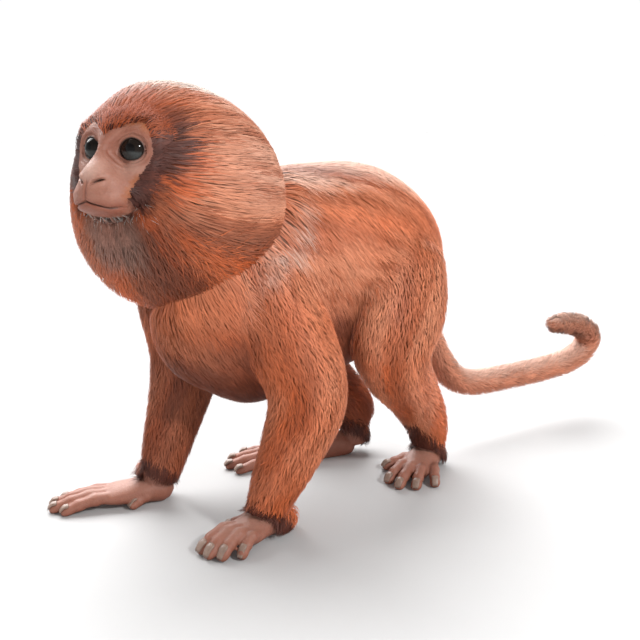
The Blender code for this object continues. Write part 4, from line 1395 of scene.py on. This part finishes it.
# the hair of the nape hangs down over the hub where the mane's sections close
nape = skin_on_ball & (skin_head[:, 1] < -89)
made = grown(
    "nape", nape, 2200, 31, length=13, depth=5.2, width=0.7, jitter=0.12, clump=0.3, cell=4.5,
    bend=(0, 0.6, -3.0), uneven=0.1, flat=0.25,
)


# ---- The mane -----------------------------------------------------------------------------
# Hair 18 to 31 mm long, shorter at the face and low on the throat, that radiates from the
# face and is swept back into a ball, with dark and bright orange streaks near the face.  It
# is set into the ball of the head and ends in a soft edge over neck and shoulders.
MANE_TUFTS = 24000
MANE_LENGTH = 26
MANE_WIDTH = 0.72
MANE_SAG = np.array((0, 0, 1.2))  # how far a tip hangs below its root's own line
MANE_TONE = 0.83
MANE_STOPS = (0, 0.3, 0.62, 1.0)  # shares of a tuft's length at its points
MANE_ENDS = (2.0, 10.7)  # the first and last sections that carry hair
MANE_PLACES, MANE_TURNS = 160, 181  # the grid over which it is spread evenly
mane_steps = np.hypot(np.diff(mane_rows[:, 0]), np.diff((mane_rows[:, 2] + mane_rows[:, 3]) / 2))
mane_run = np.concatenate([[0], np.cumsum(mane_steps)])
mane_places = np.arange(len(mane_rows)) / MANE_STEPS


def mane_roots(count, rng):
    """Places and turns spread evenly over the mane's surface."""
    first, last = MANE_ENDS
    places, turns = np.linspace(first, last, MANE_PLACES), np.linspace(0, 2 * pi, MANE_TURNS)
    grid = mane_point(*np.meshgrid(places, turns, indexing="ij"), 4)
    cell = np.linalg.norm(np.cross(grid[1:, :-1] - grid[:-1, :-1], grid[:-1, 1:] - grid[:-1, :-1]), axis=2)
    total = np.cumsum(cell.ravel())
    picks = np.searchsorted(total, (np.arange(count) + rng.random(count)) / count * total[-1])
    i, j = np.unravel_index(np.minimum(picks, cell.size - 1), cell.shape)
    place = first + (i + rng.random(count)) * (last - first) / (MANE_PLACES - 1)
    return place, (j + rng.random(count)) * 2 * pi / (MANE_TURNS - 1)


def mane_outward(place, turn):
    """Directions out of the mane, in the body's frame."""
    at = in_body(head_to_world(mane_point(place, turn, 0)))
    ahead = in_body(head_to_world(mane_point(place + 0.05, turn, 0))) - at
    around = in_body(head_to_world(mane_point(place, turn + 0.02, 0))) - at
    outward = unit(np.cross(around, ahead))
    middle = in_body(head_to_world((0, -45, -17)))
    return outward * np.sign(((at - middle) * outward).sum(1, keepdims=True))


def mane_pieces():
    count = int(MANE_TUFTS * THINNED)
    rng = np.random.default_rng(41)
    place, turn = mane_roots(count, rng)
    run = np.interp(place, mane_places, mane_run)
    outward = mane_outward(place, turn)
    root_depth = mane_depth(place)
    root = in_body(head_to_world(mane_point(place, turn, root_depth)))
    marks = markings(root, outward, np.ones(count, bool))
    rough = marks.pop("rough")
    lock_turn = grain(run / 30, turn * 50 / 4.5, 42) - 0.5
    swing = (0.03 + 0.3 * rough) * rng.normal(size=count) + 0.12 * lock_turn
    length = MANE_LENGTH * (0.7 + 0.5 * rng.random(count)) * (1 - 0.72 * rough)
    length *= 0.55 + 0.45 * smoothstep(2, 4.5, place)
    tip_depth = 0.3 + 0.7 * rng.random(count) ** 2 - 0.9 * rough * rng.random(count)
    paths = np.empty((count, len(MANE_STOPS), 3))
    for i, at in enumerate(MANE_STOPS):
        on = np.interp(run + length * at, mane_run, mane_places)
        under = (1 - at) ** 1.8
        deep = root_depth * under + tip_depth * (1 - under) if at else root_depth + 0.4
        local = mane_point(on, turn + swing * at * length / MANE_LENGTH, deep)
        paths[:, i] = in_body(head_to_world(local)) - MANE_SAG * at**2
    marks["tone"] = MANE_TONE + (0.09 + 0.13 * rough) * (2 * rng.random(count) - 1)
    turned = (turn / (2 * pi) + 0.25) % 1
    chart = 0.02 + 0.96 * np.stack((run / mane_run[-1], turned), -1)
    widths = MANE_WIDTH * (0.7 + 0.6 * rng.random(count)) * (1 - 0.3 * rough)
    look = coat_look("mane_coat")
    # its halves are named as someone who stands before the animal sees them
    for name, part in (("mane_left", turned >= 0.5), ("mane_right", turned < 0.5)):
        kept = {key: value[part] for key, value in marks.items()}
        made = tufts(name, paths[part], outward[part], widths[part], kept, chart[part], look, flat=0.25)
        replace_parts(made, "mane")


mane_pieces()


# ---- Short hair round the face, cuffs and whiskers ------------------------------------------
# Short dark hair frames the bare face, with a fringe over the brows; ragged dark cuffs end
# the coat at wrists and ankles; a few stiff pale whiskers grow by the mouth and chin.
beyond = beyond_face(skin_head)
near_face = (skin_head[:, 1] > -26) & (np.linalg.norm(skin_head, axis=1) < NEAR_HEAD)
made = grown(
    "face_fur", near_face & haired & (skin_on_head | (beyond < 9)), 7500, 51, length=7.5, depth=3.0,
    width=0.5, jitter=0.12, clump=0.4, cell=2.4, lift=(0.6, 1.0), uneven=0.14,
)
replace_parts(made, "mane")
ring = near_face & (beyond > -0.9) & (beyond < 2.4) & (skin_head[:, 2] > -24.5)
made = grown(
    "face_ring", ring, 3600, 52, length=3.6, depth=2.2, width=0.42, jitter=0.3, clump=0.7, cell=2.2,
    lift=(0.6, 1.3), paint={"dark_and_painted_shade": 0.97, "pale_and_painted_light": 0},
)
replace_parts(made, "mane")
brow = near_face & (beyond > -1) & (beyond < 7) & (skin_head[:, 2] > 5)
made = grown(
    "fringe", brow, 2200, 53, length=4.5, depth=2.8, width=0.5, jitter=0.5, clump=0.6, cell=2.0,
    lift=(0.7, 1.3), paint={"dark_and_painted_shade": 0.45, "rust": 1.0, "pale_and_painted_light": 0},
)
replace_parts(made, "mane")
cuff = (np.abs(skin_edge - 0.4) < 2.6) & (skin_points[:, 2] < 45)
made = grown(
    "cuffs", cuff, 4200, 54, length=5.0, depth=2.6, width=0.55, jitter=0.35, clump=0.8, cell=2.6,
    lift=(0.7, 1.5), paint={"dark_and_painted_shade": 0.94, "rust": 1.0, "pale_and_painted_light": 0},
)


def whisker_look():
    look, tree, shader, place = new_look("whisker")
    colour = blended(tree, noise(tree, place, 500.0), (0.30, 0.25, 0.22), (0.62, 0.58, 0.54))
    rough = number(tree, "MULTIPLY_ADD", noise(tree, place, 900.0), 0.2, 0.4)
    plug_all(tree, shader, Base_Color=colour, Roughness=rough)
    return look


corner = np.abs(np.abs(skin_head[:, 0]) - 14) + np.abs(skin_head[:, 2] + 25) * 0.8
chin = (skin_head[:, 2] < -27) & (skin_head[:, 2] > -33) & (np.abs(skin_head[:, 0]) < 11)
whiskered = near_face & (skin_head[:, 1] > -8) & (beyond > -0.6) & ((corner < 5) | (chin & (beyond < 2)))
made = grown(
    "whiskers", whiskered, 110, 55, length=6.5, depth=2.0, width=0.24, jitter=0.5, clump=0.8, cell=2.5,
    lift=(0.8, 1.6), bend=(0, 0, -0.6), look=whisker_look(),
)
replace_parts(made, "mane")


# ---- Studio -------------------------------------------------------------------------------
# A plain pale floor, a broad sun from above and behind the animal, a small lamp from the right
# of the camera that gives the spark in the eyes, and a white sky all round.
def floor_look():
    look, tree, shader, place = new_look("floor")
    tone = blended(tree, noise(tree, place, 30.0), (0.49, 0.49, 0.49), (0.51, 0.51, 0.51))
    plug_all(tree, shader, Base_Color=tone, Roughness=0.9)
    return look


FLOOR_HALF = 4.0
floor_corners = [(x * FLOOR_HALF, y * FLOOR_HALF, 0) for x, y in ((-1, -1), (1, -1), (1, 1), (-1, 1))]
floor = new_piece("floor", floor_corners, [(0, 1, 2, 3)], floor_look())

# The camera stands in front of the animal and to its left, and looks a little down.
CAMERA_TURN, CAMERA_DROP = radians(57), radians(14)
VIEW_LEVEL = Vector((-sin(CAMERA_TURN), cos(CAMERA_TURN), 0))
VIEW = VIEW_LEVEL * cos(CAMERA_DROP) - Vector((0, 0, sin(CAMERA_DROP)))  # the way it looks
VIEW_RIGHT = Vector((cos(CAMERA_TURN), sin(CAMERA_TURN), 0))
VIEW_UP = VIEW_RIGHT.cross(VIEW)
camera_data = bpy.data.cameras.new("camera")
camera_data.lens = 50
camera_data.sensor_width = 36
camera = bpy.data.objects.new("camera", camera_data)
bpy.context.scene.collection.objects.link(camera)
camera.location = Vector(placed((395.933, -141.636, 210.918)))
camera.rotation_euler = VIEW.to_track_quat("-Z", "Y").to_euler()
bpy.context.scene.camera = camera

LIT = Vector(placed((0, 90, 110)))  # the point of the trunk that the lamps are turned to
LAMP_DISTANCE = 1.1


def lamp(name, kind, way, power):
    """A lamp that shines on the trunk from a direction."""
    data = bpy.data.lights.new(name, kind)
    data.energy = power
    made = bpy.data.objects.new(name, data)
    bpy.context.scene.collection.objects.link(made)
    way = way.normalized()
    made.location = LIT + way * LAMP_DISTANCE
    made.rotation_euler = (-way).to_track_quat("-Z", "Y").to_euler()
    return data


key = lamp("key", "AREA", VIEW_RIGHT * 0.605 + VIEW_UP * 0.40 - VIEW * 0.68, 7.5)
key.shape = "SQUARE"
key.size = 0.1
sun = lamp("sun", "SUN", Vector((-0.905, 0.169, 1.0)), 6.3)
sun.angle = 1.1
# the sky is white where the floor meets it and darker overhead, so that shadows keep some depth
world = bpy.data.worlds.new("world")
bpy.context.scene.world = world
world.use_nodes = True
sky = world.node_tree
sky_way = sky.nodes.new("ShaderNodeTexCoord").outputs["Generated"]
sky_height = node(sky, "ShaderNodeSeparateXYZ", i0=sky_way).outputs["Z"]
sky_light = node(
    sky, "ShaderNodeMapRange", Value=sky_height, From_Min=0.2, From_Max=0.7, To_Min=1.02, To_Max=0.42
).outputs[0]
plug_all(sky, sky.nodes["Background"], Color=(1, 1, 1, 1), Strength=sky_light)
bpy.context.scene.view_settings.view_transform = "Standard"
